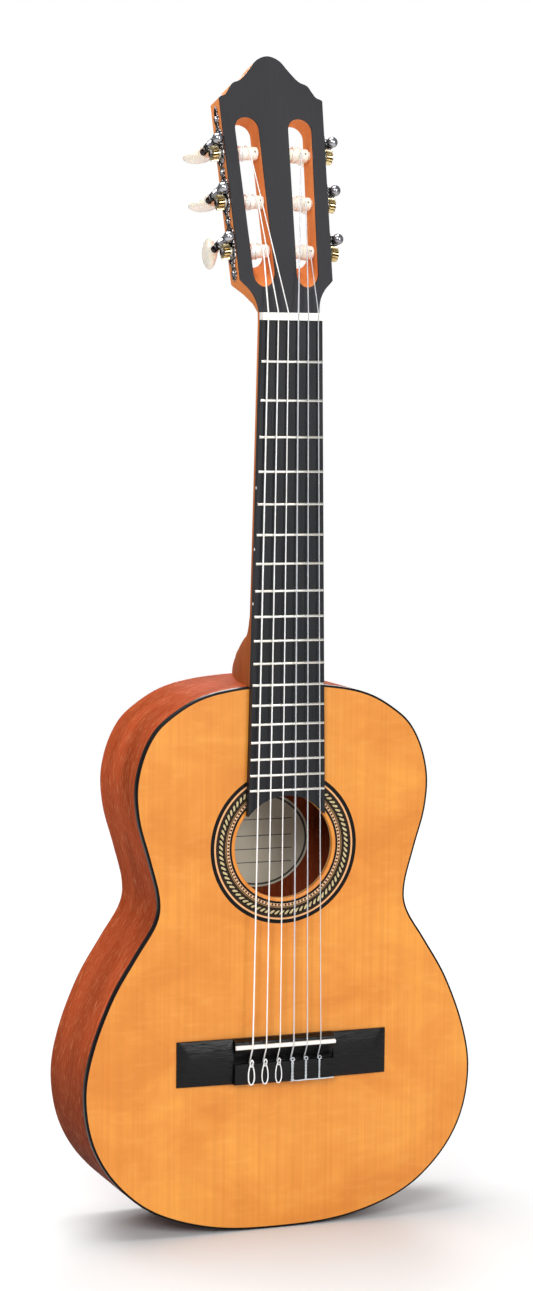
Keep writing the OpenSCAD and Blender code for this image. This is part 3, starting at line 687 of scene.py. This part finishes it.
def side_run(way):
    """The rim's points along the treble (1) or bass (-1) side, from the end strip to the neck."""
    run = [i for i in everywhere if way * RIM[i].x >= -0.01 and i not in strip[1:-1]]
    return sorted(run, key=lambda i: math.atan2(abs(RIM[i].x), MIDDLE.y - RIM[i].y))


SIDE_FRONT, SIDE_BACK = FRONT + BINDING_DEEP, BACK - BACK_THICK
wall = [(0, SIDE_FRONT), (0, SIDE_BACK), (SIDE_THICK, SIDE_BACK), (SIDE_THICK, SIDE_FRONT)]
for way, side in ((1, "treble"), (-1, "bass")):
    build(f"bent_side_{side}", *rim_sweep(wall, side_run(way)), "side_wood",
          stands_for=[f"side_{side}"], slot="mahogany_body")
build("tail_strip", *rim_sweep(wall, strip), "black_binding", stands_for=["end_strip"],
      slot="black_binding")

# Binding with its outer edge rounded.
edge = [(0, SIDE_FRONT), (0, FRONT + 0.95), (0.1, FRONT + 0.5), (0.32, FRONT + 0.2),
        (0.7, FRONT + 0.03), (1.1, FRONT), (BINDING_WIDE, FRONT), (BINDING_WIDE, SIDE_FRONT)]
build("binding", *rim_sweep(edge, everywhere, closed=True), "black_binding", stands_for=["top_binding"],
      slot="black_binding")

# Back plate with a rounded rim.
back_edge = [(SIDE_THICK, SIDE_BACK), (0, SIDE_BACK), (0, BACK - 1.2), (0.18, BACK - 0.6),
             (0.6, BACK - 0.18), (1.3, BACK)]
rows = [[rim_point(i, d, y) for i in everywhere] for d, y in back_edge]
build("back", *join_parts(grid(rows, closed_cols=True), flat_between(rows[0]), flat_between(rows[-1])),
      "back_wood", stands_for=["back_plate"], slot="mahogany_body")

# Soundboard: rim to rosette, the lip inside it, and the eased edge of the hole.
TOP_IN, INLAY_FLOOR = FRONT + TOP_THICK, FRONT + INLAY_DEEP
outer = [[rim_point(i, BINDING_WIDE, y) for i in everywhere] for y in (TOP_IN, FRONT)]
inner = [circle(r, y) for r, y in (
    (ROSETTE_OUT, FRONT), (ROSETTE_OUT, INLAY_FLOOR), (ROSETTE_IN, INLAY_FLOOR), (ROSETTE_IN, FRONT),
    (HOLE_R + 0.5, FRONT), (HOLE_R + 0.15, FRONT + 0.12), (HOLE_R, FRONT + 0.45), (HOLE_R, TOP_IN))]
build("top", *join_parts(grid(outer, closed_cols=True), grid(inner, closed_cols=True),
                         flat_between(outer[1], inner[0]), flat_between(outer[0], inner[-1])),
      "spruce_top", stands_for=["soundboard"], slot="spruce_top", smooth=25)
ring = [circle(r, y) for r, y in (
    (ROSETTE_IN, INLAY_FLOOR), (ROSETTE_IN, FRONT), (38.8, FRONT), (40.8, FRONT), (46.7, FRONT),
    (49.9, FRONT), (ROSETTE_OUT, FRONT), (ROSETTE_OUT, INLAY_FLOOR))]
build("rosette_rings", *grid(ring, closed_rows=True, closed_cols=True), "rosette_inlay",
      stands_for=["rosette"], slot="rosette_inlay", smooth=25)

for name in ("soundhole_ring", "top_braces", "back_braces", "back_center_strip", "linings",
             "neck_block", "tail_block"):
    refine(name, "pale_wood", 0.5)


def label_sheet():
    """The label as an oval sheet, of rings out to its edge and back."""
    low, high = box_mm("label")
    (mid_x, mid_z), (half_x, half_z) = label_oval()
    rows = []
    for r, y in ((0.02, high.y), (1, high.y), (1, low.y), (0.6, low.y), (0.02, low.y)):
        rows.append([(mid_x + half_x * r * math.cos(a), y, mid_z + half_z * r * math.sin(a))
                     for a in [TURN * k / 96 for k in range(96)]])
    return solid(rows)


build("label_sheet", *label_sheet(), "label_paper", stands_for=["label"], slot="label_paper")
refine("heel_cap", "back_wood", 0.5)

# ---------------------------------------------------------------- neck and head
# Half the board's width at the nut, and how much its width grows for each millimetre down from there.
NUT_HALF = 21.4
TAPER = 0.0368


def board_half(z):
    """Half the board's width at height z."""
    return NUT_HALF + TAPER / 2 * (NUT_Z - z)


def neck_shape():
    """Smooth skin over the neck's sections: height above the joint, depth, squareness."""
    top = HEAD_Z - BODY_LEN
    deepest = BACK - BACK_THICK - FRONT
    heel = [(-4, 90, 1.5), (4, 88, 1.5), (9, 84, 1.55), (15, 78, 1.6), (19.5, 68, 1.7), (24.3, 57, 1.8),
            (28.5, 45, 1.9), (31.5, 34, 2.0), (36, 26, 2.1), (43, 19.5, 2.2), (52, 16.8, 2.2)]
    shaft = [(120, 15.6, 2.25), (top - 30, 14.8, 2.3), (top - 8, 15, 2.3), (top, 15.6, 2.35)]
    rows = []
    for s, depth, square in spline(heel + shaft, 6):
        z = BODY_LEN + min(s, top)
        w = board_half(z) + max(0, z - NUT_Z) * TAPER / 2
        row = []
        for k in range(49):
            a = math.pi * k / 48
            c, sn = math.cos(a), max(0.0, math.sin(a))
            row.append((w * math.copysign(abs(c) ** (2 / square), c),
                        FRONT + min(deepest, depth * sn ** (2 / square)), z))
        rows.append(row)
    return solid(rows)


build("neck_shaft", *neck_shape(), "neck_wood", stands_for=["neck"], slot="neck_wood", smooth=50)
# The head's lighter wood paints the light on it.
refine("headstock", "head_wood", 0.5)
refine("head_veneer", "black_veneer", 0.35)
refine("fingerboard", "dark_board", 0.35)
refine("side_dots", "white_plastic", 0)
refine("nut", "white_plastic", 0.25)
refine("saddle", "white_plastic", 0.2)


def fret_wires():
    """A rounded crown across the board at each semitone, eased at both ends and let into the board."""
    half, rise, end_rise, ease, sunk = 0.9, 0.85, 0.45, 0.5, 0.3
    face = box_mm("fingerboard")[0].y
    parts = []
    for n in range(1, FRETS + 1):
        z = SADDLE_Z + (NUT_Z - SADDLE_Z) * 2 ** (-n / 12)
        reach = board_half(z) - 0.3
        rows = []
        for x, high in [(-reach, end_rise), (ease - reach, rise), (reach - ease, rise),
                        (reach, end_rise)]:
            crown = [(x, face - high * math.sin(a), z + half * math.cos(a))
                     for a in [math.pi * k / 12 for k in range(13)]]
            rows.append([(x, face + sunk, z + half)] + crown + [(x, face + sunk, z - half)])
        parts.append(solid(rows))
    return join_parts(*parts)


build("fret_wires", *fret_wires(), "fret_metal", stands_for=["frets"], slot="fret_metal", smooth=60)


def bridge_parts():
    """The profiled block with its tie bar and ramp, and two domed wings with bevelled ends."""
    rim = [(0, 3), (-2.6, 3), (-3.5, 2.3), (-5, 2), (-6.6, 1.3), (-7, 0.2), (-7, -4.2), (-6.5, -4.9)]
    ramp_down = [(-5.2, -6.4), (-3.2, -10.6), (-2.7, -12.2), (-2.6, -13.8)]
    tie_bar = [(-7, -13.8), (-7, -26.8), (-6.7, -27.5), (-6, -28), (0, -28)]
    parts = [solid([[(x, FRONT + y, SADDLE_Z + z) for y, z in rim + ramp_down + tie_bar]
                    for x in (-BLOCK_HALF, BLOCK_HALF)])]
    middle, half = SADDLE_Z - 12.5, 15.5
    for way in (-1, 1):
        rows = []
        for k in range(41):
            x = BLOCK_HALF + (WING_END - BLOCK_HALF) * k / 40
            row = []
            for j in range(25):
                share = j / 12 - 1
                crown = 4.2 - (x - BLOCK_HALF) / 32 - 1.9 * abs(share) ** 2.4
                end = 0.9 + (WING_END - x) * 0.31
                h = -math.log(math.exp(-4 * crown) + math.exp(-4 * end)) / 4  # the lower one, blended
                row.append((way * x, FRONT - h, middle + half * share))
            rows.append([(way * x, FRONT, row[0][2])] + row + [(way * x, FRONT, row[-1][2])])
        parts.append(solid(rows))
    return join_parts(*parts)


build("bridge_wood", *bridge_parts(), "black_bridge", stands_for=["bridge"], slot="black_bridge",
      bevel=0.3)


# ---------------------------------------------------------------- strings
def spread(i, width):
    """String i's place across the board."""
    return width * (0.5 - (i - 1) / 5)


def string_path(i):
    """From the roller over the nut and the saddle, down the ramp and through the tie bar."""
    r = STRING_R[i - 1]
    start = tuner_frame(i) @ Vector((MEET_U[i - 1], AXLE_D - ROLLER_R - 3.2 * r - 0.25, 0))
    x_nut, x_bridge = spread(i, NUT_SPREAD), spread(i, SADDLE_SPREAD)
    y_nut = FRONT - NUT_RISE
    y_saddle = FRONT - SADDLE_RISE - 1.03 * r - 0.08
    return filleted([start, (x_nut, y_nut, HEAD_Z + 0.2), (x_nut, y_nut, NUT_Z - 0.2),
                     (x_bridge, y_saddle, SADDLE_Z - 2.2), (x_bridge, FRONT - 4.2, SADDLE_Z - 12.8),
                     (x_bridge, FRONT - 4.2, BRIDGE_LOW - 0.7)], 1.2)


def bass_knot(i):
    """A loop laid on the tie block: hooked round the string at the top, rounded at the tail end."""
    r = STRING_R[i - 1]
    x = spread(i, SADDLE_SPREAD)
    top = SADDLE_Z - 13.2
    lie = TIE_TOP - r - 0.05
    loop = spline([(x + a, lie - off, top - z) for a, off, z in [
        (0.0, 0.6, -2.2), (-0.9, 0.9, -1.0), (-1.0, 0.2, 1.2), (-1.75, 0, 4.6), (-2.15, 0, 8.6),
        (-1.9, 0, 12.0), (-1.05, 0, 14.1), (0.0, 0, 14.7), (1.05, 0, 14.1), (1.9, 0, 12.0),
        (2.15, 0, 8.6), (1.7, 0, 4.6), (0.75, 0.2, 1.2), (0.95, 0.9, -1.0)]], 6, closed=True)
    hook = spline([(x + 1.15 * math.sin(a), lie - 0.15 - 0.75 * math.cos(a), top - 0.5 - 0.28 * a)
                   for a in [0.6 * k for k in range(12)]], 3)
    return join_parts(tube(loop, r * 0.92, 10, closed=True), tube(hook, r * 0.8, 10))


def treble_knot(i):
    """Two strands of nylon twisted down the tie block from a small eye."""
    twists, length = 3.2, 14.2
    r = STRING_R[i - 1]
    x = spread(i, SADDLE_SPREAD)
    top = SADDLE_Z - 13.4
    lie = TIE_TOP - 1.75 * r
    parts = []
    for phase in (0, math.pi):
        path = []
        for k in range(61):
            s = k / 60
            a = phase + TURN * twists * s
            swell = 1 + 0.25 * math.sin(9 * s)
            path.append((x + 0.95 * r * math.cos(a) * swell, lie + 0.85 * r * math.sin(a),
                         top - length * s))
        parts.append(tube(path, 0.85 * r, 10))
    eye = [(x + 1.15 * math.cos(a), lie - 0.35, top + 0.9 + 1.15 * math.sin(a))
           for a in [TURN * k / 20 for k in range(20)]]
    return join_parts(*parts, tube(eye, 0.85 * r, 10, closed=True))


def loose_end():
    """The end of string 3, led along the foot of the tie block past strings 2 and 1."""
    low = BRIDGE_LOW + 0.55
    x1, x2, x3 = (spread(i, SADDLE_SPREAD) for i in (1, 2, 3))
    path = [(x3, TIE_TOP - 0.75, low + 1.4), (x3 + 2.5, TIE_TOP - 0.45, low),
            (x2, TIE_TOP - 0.4, low + 0.15), (x1, TIE_TOP - 0.4, low + 0.1),
            (BLOCK_HALF - 0.8, TIE_TOP - 0.35, low + 0.35)]
    return tube(spline(path, 8), 0.42, 10)


for i in range(1, 7):
    finish = "wound_string" if is_bass(i) else "nylon_string"
    parts = [tube(string_path(i), STRING_R[i - 1]), bass_knot(i) if is_bass(i) else treble_knot(i)]
    if i == 3:
        parts.append(loose_end())
    build(f"strung_{i}", *join_parts(*parts), [finish, "wound_string" if is_bass(i) else "nylon_twist"],
          stands_for=[f"string_{i}"], slot=finish, smooth=60, split=lambda c: int(c.z < KNOT_Z))


# ---------------------------------------------------------------- tuners
def drilled(part, bore):
    """The part with the bore taken out of it."""
    solids = []
    for verts, faces in (part, bore):
        mesh = bpy.data.meshes.new("solid")
        mesh.from_pydata([Vector(v) for v in verts], [], faces)
        bm = bmesh.new()
        bm.from_mesh(mesh)
        bmesh.ops.recalc_face_normals(bm, faces=bm.faces)
        bm.to_mesh(mesh)
        bm.free()
        solids.append(bpy.data.objects.new("solid", mesh))
        scene.collection.objects.link(solids[-1])
    cut = solids[0].modifiers.new("cut", "BOOLEAN")
    cut.operation = "DIFFERENCE"
    cut.solver = "EXACT"
    cut.object = solids[1]
    bpy.context.view_layer.update()
    mesh = solids[0].evaluated_get(bpy.context.evaluated_depsgraph_get()).to_mesh()
    result = [v.co.copy() for v in mesh.vertices], [list(f.vertices) for f in mesh.polygons]
    for piece in solids:
        bpy.data.meshes.remove(piece.data)
    return result


def roller_barrel(hole_u):
    """Barrel with eased ends on a thinner pin along the u axis, with the string's hole across it."""
    profile = [(2.0, -31), (2.0, -25.6), (3.4, -25.4), (4.1, -25.1), (4.42, -24.6), (ROLLER_R, -24.0),
               (ROLLER_R, -11.2), (4.42, -10.6), (4.1, -10.2), (3.4, -10.05), (3.0, -10.0),
               (3.0, GEAR_FOOT)]
    verts, faces = lathe([(0.8, -6), (0.8, 6)], 20)
    return drilled(across(lathe(profile, 48)), ([(v[0] + hole_u, v[1], v[2]) for v in verts], faces))


def winding(i):
    """Turns of string on the roller from where the string arrives, ending in the roller's hole."""
    r = STRING_R[i - 1]
    coil_r = ROLLER_R + r
    way = 1 if is_bass(i) else -1
    open_turn = 3.6 if is_bass(i) else 0.0
    per_turn = 28
    path = []
    for k in range(COIL_TURNS[i - 1] * per_turn + 1):
        a = TURN * k / per_turn
        out = way * (2 * r * k / per_turn + open_turn * min(1, k / per_turn))
        path.append((MEET_U[i - 1] + out, AXLE_D - coil_r * math.cos(a), coil_r * math.sin(a)))
    return tube(path, r, 10)


def worm_parts():
    """Ball cap, thread, collars and shaft along the worm's axis."""
    angles = [math.radians(85 - 8 * k) for k in range(15)]
    ball = [(3.7 * math.cos(a), -9.6 - 3.7 * math.sin(a)) for a in angles]
    ball = [(0.3, -13.3)] + [(r, at) for r, at in ball if at < -6.85]
    core = [(2.4, -6.8), (1.9, -6.6), (1.9, -4.4), (2.1, -4.1), (2.1, 4.1), (1.9, 4.4), (1.9, 6.7)]
    collar = [(2.7, 6.75), (3.0, 7.0), (3.0, 8.6), (2.7, 8.9), (2.3, 9.0), (2.15, 10.2)]
    ferrule = [(2.3, 11.2), (2.75, 11.4), (2.9, 12.0), (2.75, 12.7), (2.3, 13.0), (2.05, 15.5),
               (2.3, 19.4), (2.3, 19.9), (1.9, 20.0), (1.9, 26)]
    thread = [(1.9, -0.62), (3.1, -0.28), (3.25, -0.14), (3.25, 0.14), (3.1, 0.28), (1.9, 0.62)]
    pitch = TURN * PITCH_R / TEETH
    rows = []
    for k in range(3 * 36 + 1):
        a = TURN * k / 36
        at = pitch * (k / 36 - 1.5)
        rows.append([(-r * math.sin(a), at + off, -r * math.cos(a)) for r, off in thread])
    return join_parts(lathe(ball + core + collar + ferrule), solid(rows))


def button_shape():
    """Flat oval paddle with a soft waist at the shaft, thickest in its middle."""
    length, centre, reach, steps = 18.15, 10.1, 8.05, 32
    rows = []
    for k in range(steps + 1):
        s = k / steps
        d = length * (1 - math.cos(math.pi * s)) / 2
        oval = max(0.0, 1 - ((d - centre) / reach) ** 2) ** 0.5
        half = max(2.8 * min(1, 2.2 * oval) + 7.9 * oval, 3.3 if d < 5 else 0.25)
        thick = min(3.45, 0.5 + 3.3 * (oval ** 0.7 if d > 6 else 1.0)) if s < 1 else 0.3
        if s in (0.0, 1.0):
            half, thick = half * 0.8, thick * 0.8
        row = []
        for j in range(40):
            a = TURN * j / 40
            c, sn = math.cos(a), math.sin(a)
            row.append((half * math.copysign(abs(c) ** 0.92, c), d,
                        thick * math.copysign(abs(sn) ** 1.15, sn)))
        rows.append(row)
    return solid(rows)


def plate_outline():
    """Lyre-shaped plate in depth and height, with its cut-outs: the first loop is the outside.

    Its flank is given as (half width, height); lobe, between and crown start at a roller's station.
    """
    flank = [(0, 0.9), (1.5, 2.0), (2.6, 2.3), (3.9, 6.5), (2.5, 9.6), (2.9, 12.0), (4.6, 14.0),
             (5.9, 16.2)]
    between = [(3.7, 20.2), (3.8, 21.8), (2.2, 23.8), (2.7, 25.4), (4.6, 27.2)]
    crown = [(2.4, 20.6), (3.8, 22.8), (3.7, 25.0), (2.0, 26.8), (2.5, 28.6), (1.6, 30.6)]
    lobe = [(6.4, -2.5), (6.5, 4), (6.4, 11.5), (5.2, 14.6), (3.0, 16.6), (2.0, 18)]
    for s in STATIONS:
        flank += [(h, s + v) for h, v in lobe + (crown if s == STATIONS[-1] else between)]
    outline = [Vector((AXLE_D + h, v)) for h, v in flank]
    outline.append(Vector((AXLE_D, 121.2)))
    outline += [Vector((AXLE_D - h, v)) for h, v in reversed(flank) if h > 0]
    loops = [spline(outline, 4, closed=True)]

    def hole(points):
        """Adds a cut-out from points beside the middle line."""
        loops.append(spline([Vector((AXLE_D + a, v)) for a, v in points], 4, closed=True))

    for s in STATIONS:
        for w in (-1, 1):
            hole([(w * 2.2, s - 6.6), (w * 3.9, s - 5.6), (w * 4.6, s - 3.9), (w * 3.2, s - 4.6)])
            hole([(w * 1.4, s + 13.4), (w * 3.3, s + 12.9), (w * 4.0, s + 13.9), (w * 2.4, s + 15.2)])
        hole([(0, s - 9.6), (0.95, s - 8.0), (0, s - 5.8), (-0.95, s - 8.0)])
        hole([(0, s + 18.2), (0.7, s + 16.6), (0, s + 14.4), (-0.7, s + 16.6)])
    return loops


def plate_parts():
    """The pierced plate and the round-topped lugs that carry the worm shafts."""
    curve = bpy.data.curves.new("plate", "CURVE")
    curve.dimensions = "2D"
    curve.fill_mode = "BOTH"
    half_flat, edge_round, middle = 0.35, 0.22, 0.58
    curve.extrude = half_flat
    curve.bevel_depth = edge_round
    curve.bevel_resolution = 1
    curve.offset = -edge_round
    for loop in plate_outline():
        s = curve.splines.new("POLY")
        s.points.add(len(loop) - 1)
        for p, q in zip(s.points, loop):
            p.co = (q.x, q.y, 0, 1)
        s.use_cyclic_u = True
    temp = bpy.data.objects.new("plate", curve)
    mesh = bpy.data.meshes.new_from_object(temp)
    verts = [(v.co.z + middle, v.co.x, v.co.y) for v in mesh.vertices]
    faces = [list(p.vertices) for p in mesh.polygons]
    bpy.data.objects.remove(temp)
    bpy.data.curves.remove(curve)
    bpy.data.meshes.remove(mesh)
    parts = [(verts, faces)]
    lug_r, lug_foot, lug_thick = 3.1, 1.0, 1.8
    for s in STATIONS:
        shaft_v = DRIVE_GAP + s
        lug = [(WORM_U + lug_r * math.cos(a), shaft_v + lug_r * math.sin(a))
               for a in [math.radians(-90 + 12 * k) for k in range(16)]]
        lug += [(lug_foot, shaft_v + lug_r), (lug_foot, shaft_v - lug_r)]
        for start in (2.0, 13.2):
            parts.append(solid([[(u, d, v) for u, v in lug] for d in (start, start + lug_thick)]))
    return join_parts(*parts)


def gear_finish(c):
    """0 for the gear's brass, 1 for its screw, 2 for the floors between the teeth, dark brass as
    painted shade.
    """
    if c.x > GEAR_FACE + 0.01:
        return 1
    between_faces = GEAR_FOOT + 0.1 < c.x < GEAR_FACE - 0.1
    return 2 if between_faces and math.hypot(c.y - AXLE_D, c.z) < ROOT_R + 0.15 else 0


def worm_finish(c):
    """0 for the plated shaft, 1 for its collar and for the neck beside the ball."""
    return 1 if c.y > 6.7 or -7.4 < c.y < -4.0 else 0


for bass, side in ((False, "treble"), (True, "bass")):
    build(f"lyre_plate_{side}", *plate_parts(), "plate_silver", stands_for=[f"tuner_plate_{side}"],
          slot="chrome_plate", frame_of=side_frame(bass), smooth=40, bevel=0.12)
refine("tuner_screws", "chrome_plate", 0.12)

for i in range(1, 7):
    at = tuner_frame(i)
    axle = at @ Matrix.Translation((0, AXLE_D, 0))
    worm_axis = at @ Matrix.Translation((WORM_U, AXLE_D, DRIVE_GAP))
    build(f"barrel_{i}", *roller_barrel(BASS_HOLE_U if is_bass(i) else TREBLE_HOLE_U), "roller_plastic",
          body=f"roller_{i}", stands_for=[f"roller_{i}"], slot="roller_plastic", frame_of=axle,
          smooth=50)
    build(f"winding_{i}", *winding(i), "wound_string" if is_bass(i) else "nylon_coil",
          body=f"roller_{i}", slot="wound_string" if is_bass(i) else "nylon_string", frame_of=at,
          smooth=60)
    build(f"worm_shaft_{i}", *worm_parts(), ["chrome_plate", "dark_steel"], body=f"knob_{i}",
          stands_for=[f"worm_{i}"], slot="chrome_plate", frame_of=worm_axis, smooth=50,
          split=worm_finish)
    paddle = worm_axis @ Matrix.Translation((0, BUTTON_FOOT, 0))
    if i == 6:  # this button stands a quarter turn on in the photograph
        paddle = paddle @ Matrix.Rotation(TURN / 4, 4, "Y")
    build(f"paddle_{i}", *button_shape(), "pearl_button", body=f"knob_{i}", stands_for=[f"button_{i}"],
          slot="pearl_button", frame_of=paddle, smooth=60)
    refine(f"gear_{i}", ["brass_gear", "dark_steel", "brass_in_painted_shade"], 0.1,
           split=lambda c, back=at.inverted(): gear_finish(back @ c))


# ---------------------------------------------------------------- floor, light and camera, in metres
FLOOR_REACH = 2.6
FLOOR_GAP = 0.0003
# Strength of the surroundings as a source of light; the camera sees them at full white.
SKY_LIGHT = 0.32
# Place, size, watts and aim of each area light.
UPPER_BODY = (0, 0, 0.35)
LIGHTS = {
    "key": ((-1.4, -2.3, 1.8), (1.2, 1.2), 41, UPPER_BODY),
    "fill": ((0.75, -2.8, 1.05), (1.0, 1.4), 33, UPPER_BODY),
    "overhead": ((-0.5, 0.5, 3.0), (2.2, 2.2), 92, (0, 0.2, 0)),
    "rear": ((1.2, 2.7, 1.5), (1.5, 1.5), 45, UPPER_BODY),
}
# The photograph's view, in degrees: turned to the bass side, looking down, and rolled a little.
CAMERA_AT = (-0.74085, -1.92861, 0.59000)
CAMERA_AZIMUTH, CAMERA_DOWN, CAMERA_ROLL = 21.04, 5.43, 0.595
CAMERA_LENS, CAMERA_SENSOR = 56.77, 24


def floor():
    """A pale floor that fades into the white surroundings well away from the guitar."""
    t, b = new_material("studio_floor", Roughness=0.7, Specular_IOR_Level=0.2)
    paint(t, b, ramp(t, noise(t, (3, 3, 3), 2), [(0.3, rgb("D6D6D6")), (0.7, rgb("DADADA"))]))
    away = add(t, "ShaderNodeVectorMath", {0: coordinates(t)}, operation="LENGTH").outputs["Value"]
    reach = calc(t, "DIVIDE", away, FLOOR_REACH)
    feed(t, b.inputs["Alpha"], ramp(t, reach, [(0.3, 1.0), (0.95, 0.0)]))
    n = 24
    steps = [FLOOR_REACH * (2 * k / n - 1) for k in range(n + 1)]
    verts, faces = grid([[(x, y, 0.0) for x in steps] for y in steps])
    mesh = bpy.data.meshes.new("floor")
    mesh.from_pydata([Vector(v) for v in verts], [], faces)
    dress(mesh, "studio_floor")
    obj = bpy.data.objects.new("floor", mesh)
    obj.location.z = -FLOOR_GAP
    scene.collection.objects.link(obj)


def area_light(name, at, size, watts, aim):
    """A soft rectangle of light."""
    data = bpy.data.lights.new(name, "AREA")
    data.shape = "RECTANGLE"
    data.size, data.size_y = size
    data.energy = watts
    obj = bpy.data.objects.new(name, data)
    obj.location = at
    obj.rotation_mode = "QUATERNION"
    obj.rotation_quaternion = (Vector(aim) - Vector(at)).to_track_quat("-Z", "Y")
    scene.collection.objects.link(obj)


def surroundings():
    """White to the camera, dimmer as a source of light."""
    world = bpy.data.worlds.new("studio")
    world.use_nodes = True
    tree = world.node_tree
    background = tree.nodes["Background"]
    background.inputs["Color"].default_value = (1, 1, 1, 1)
    seen = add(tree, "ShaderNodeLightPath").outputs["Is Camera Ray"]
    strength = calc(tree, "MULTIPLY_ADD", seen, 1 - SKY_LIGHT, SKY_LIGHT)
    feed(tree, background.inputs["Strength"], strength)
    scene.world = world


def make_camera():
    """A camera at the photograph's point, looking its way."""
    azimuth, down, roll = (math.radians(a) for a in (CAMERA_AZIMUTH, CAMERA_DOWN, CAMERA_ROLL))
    right = Vector((math.cos(azimuth), -math.sin(azimuth), 0))
    ahead = Vector((math.sin(azimuth) * math.cos(down), math.cos(azimuth) * math.cos(down),
                    -math.sin(down)))
    up = right.cross(ahead)
    rolled_right = math.cos(roll) * right + math.sin(roll) * up
    rolled_up = -math.sin(roll) * right + math.cos(roll) * up
    data = bpy.data.cameras.new("camera")
    data.sensor_fit = "VERTICAL"
    data.sensor_height = data.sensor_width = CAMERA_SENSOR
    data.lens = CAMERA_LENS
    obj = bpy.data.objects.new("camera", data)
    turn = Matrix((rolled_right, rolled_up, -ahead)).transposed().to_4x4()
    obj.matrix_world = Matrix.Translation(CAMERA_AT) @ turn
    scene.collection.objects.link(obj)
    scene.camera = obj


floor()
surroundings()
for name, row in LIGHTS.items():
    area_light(name, *row)
make_camera()
scene.view_settings.view_transform = "Standard"
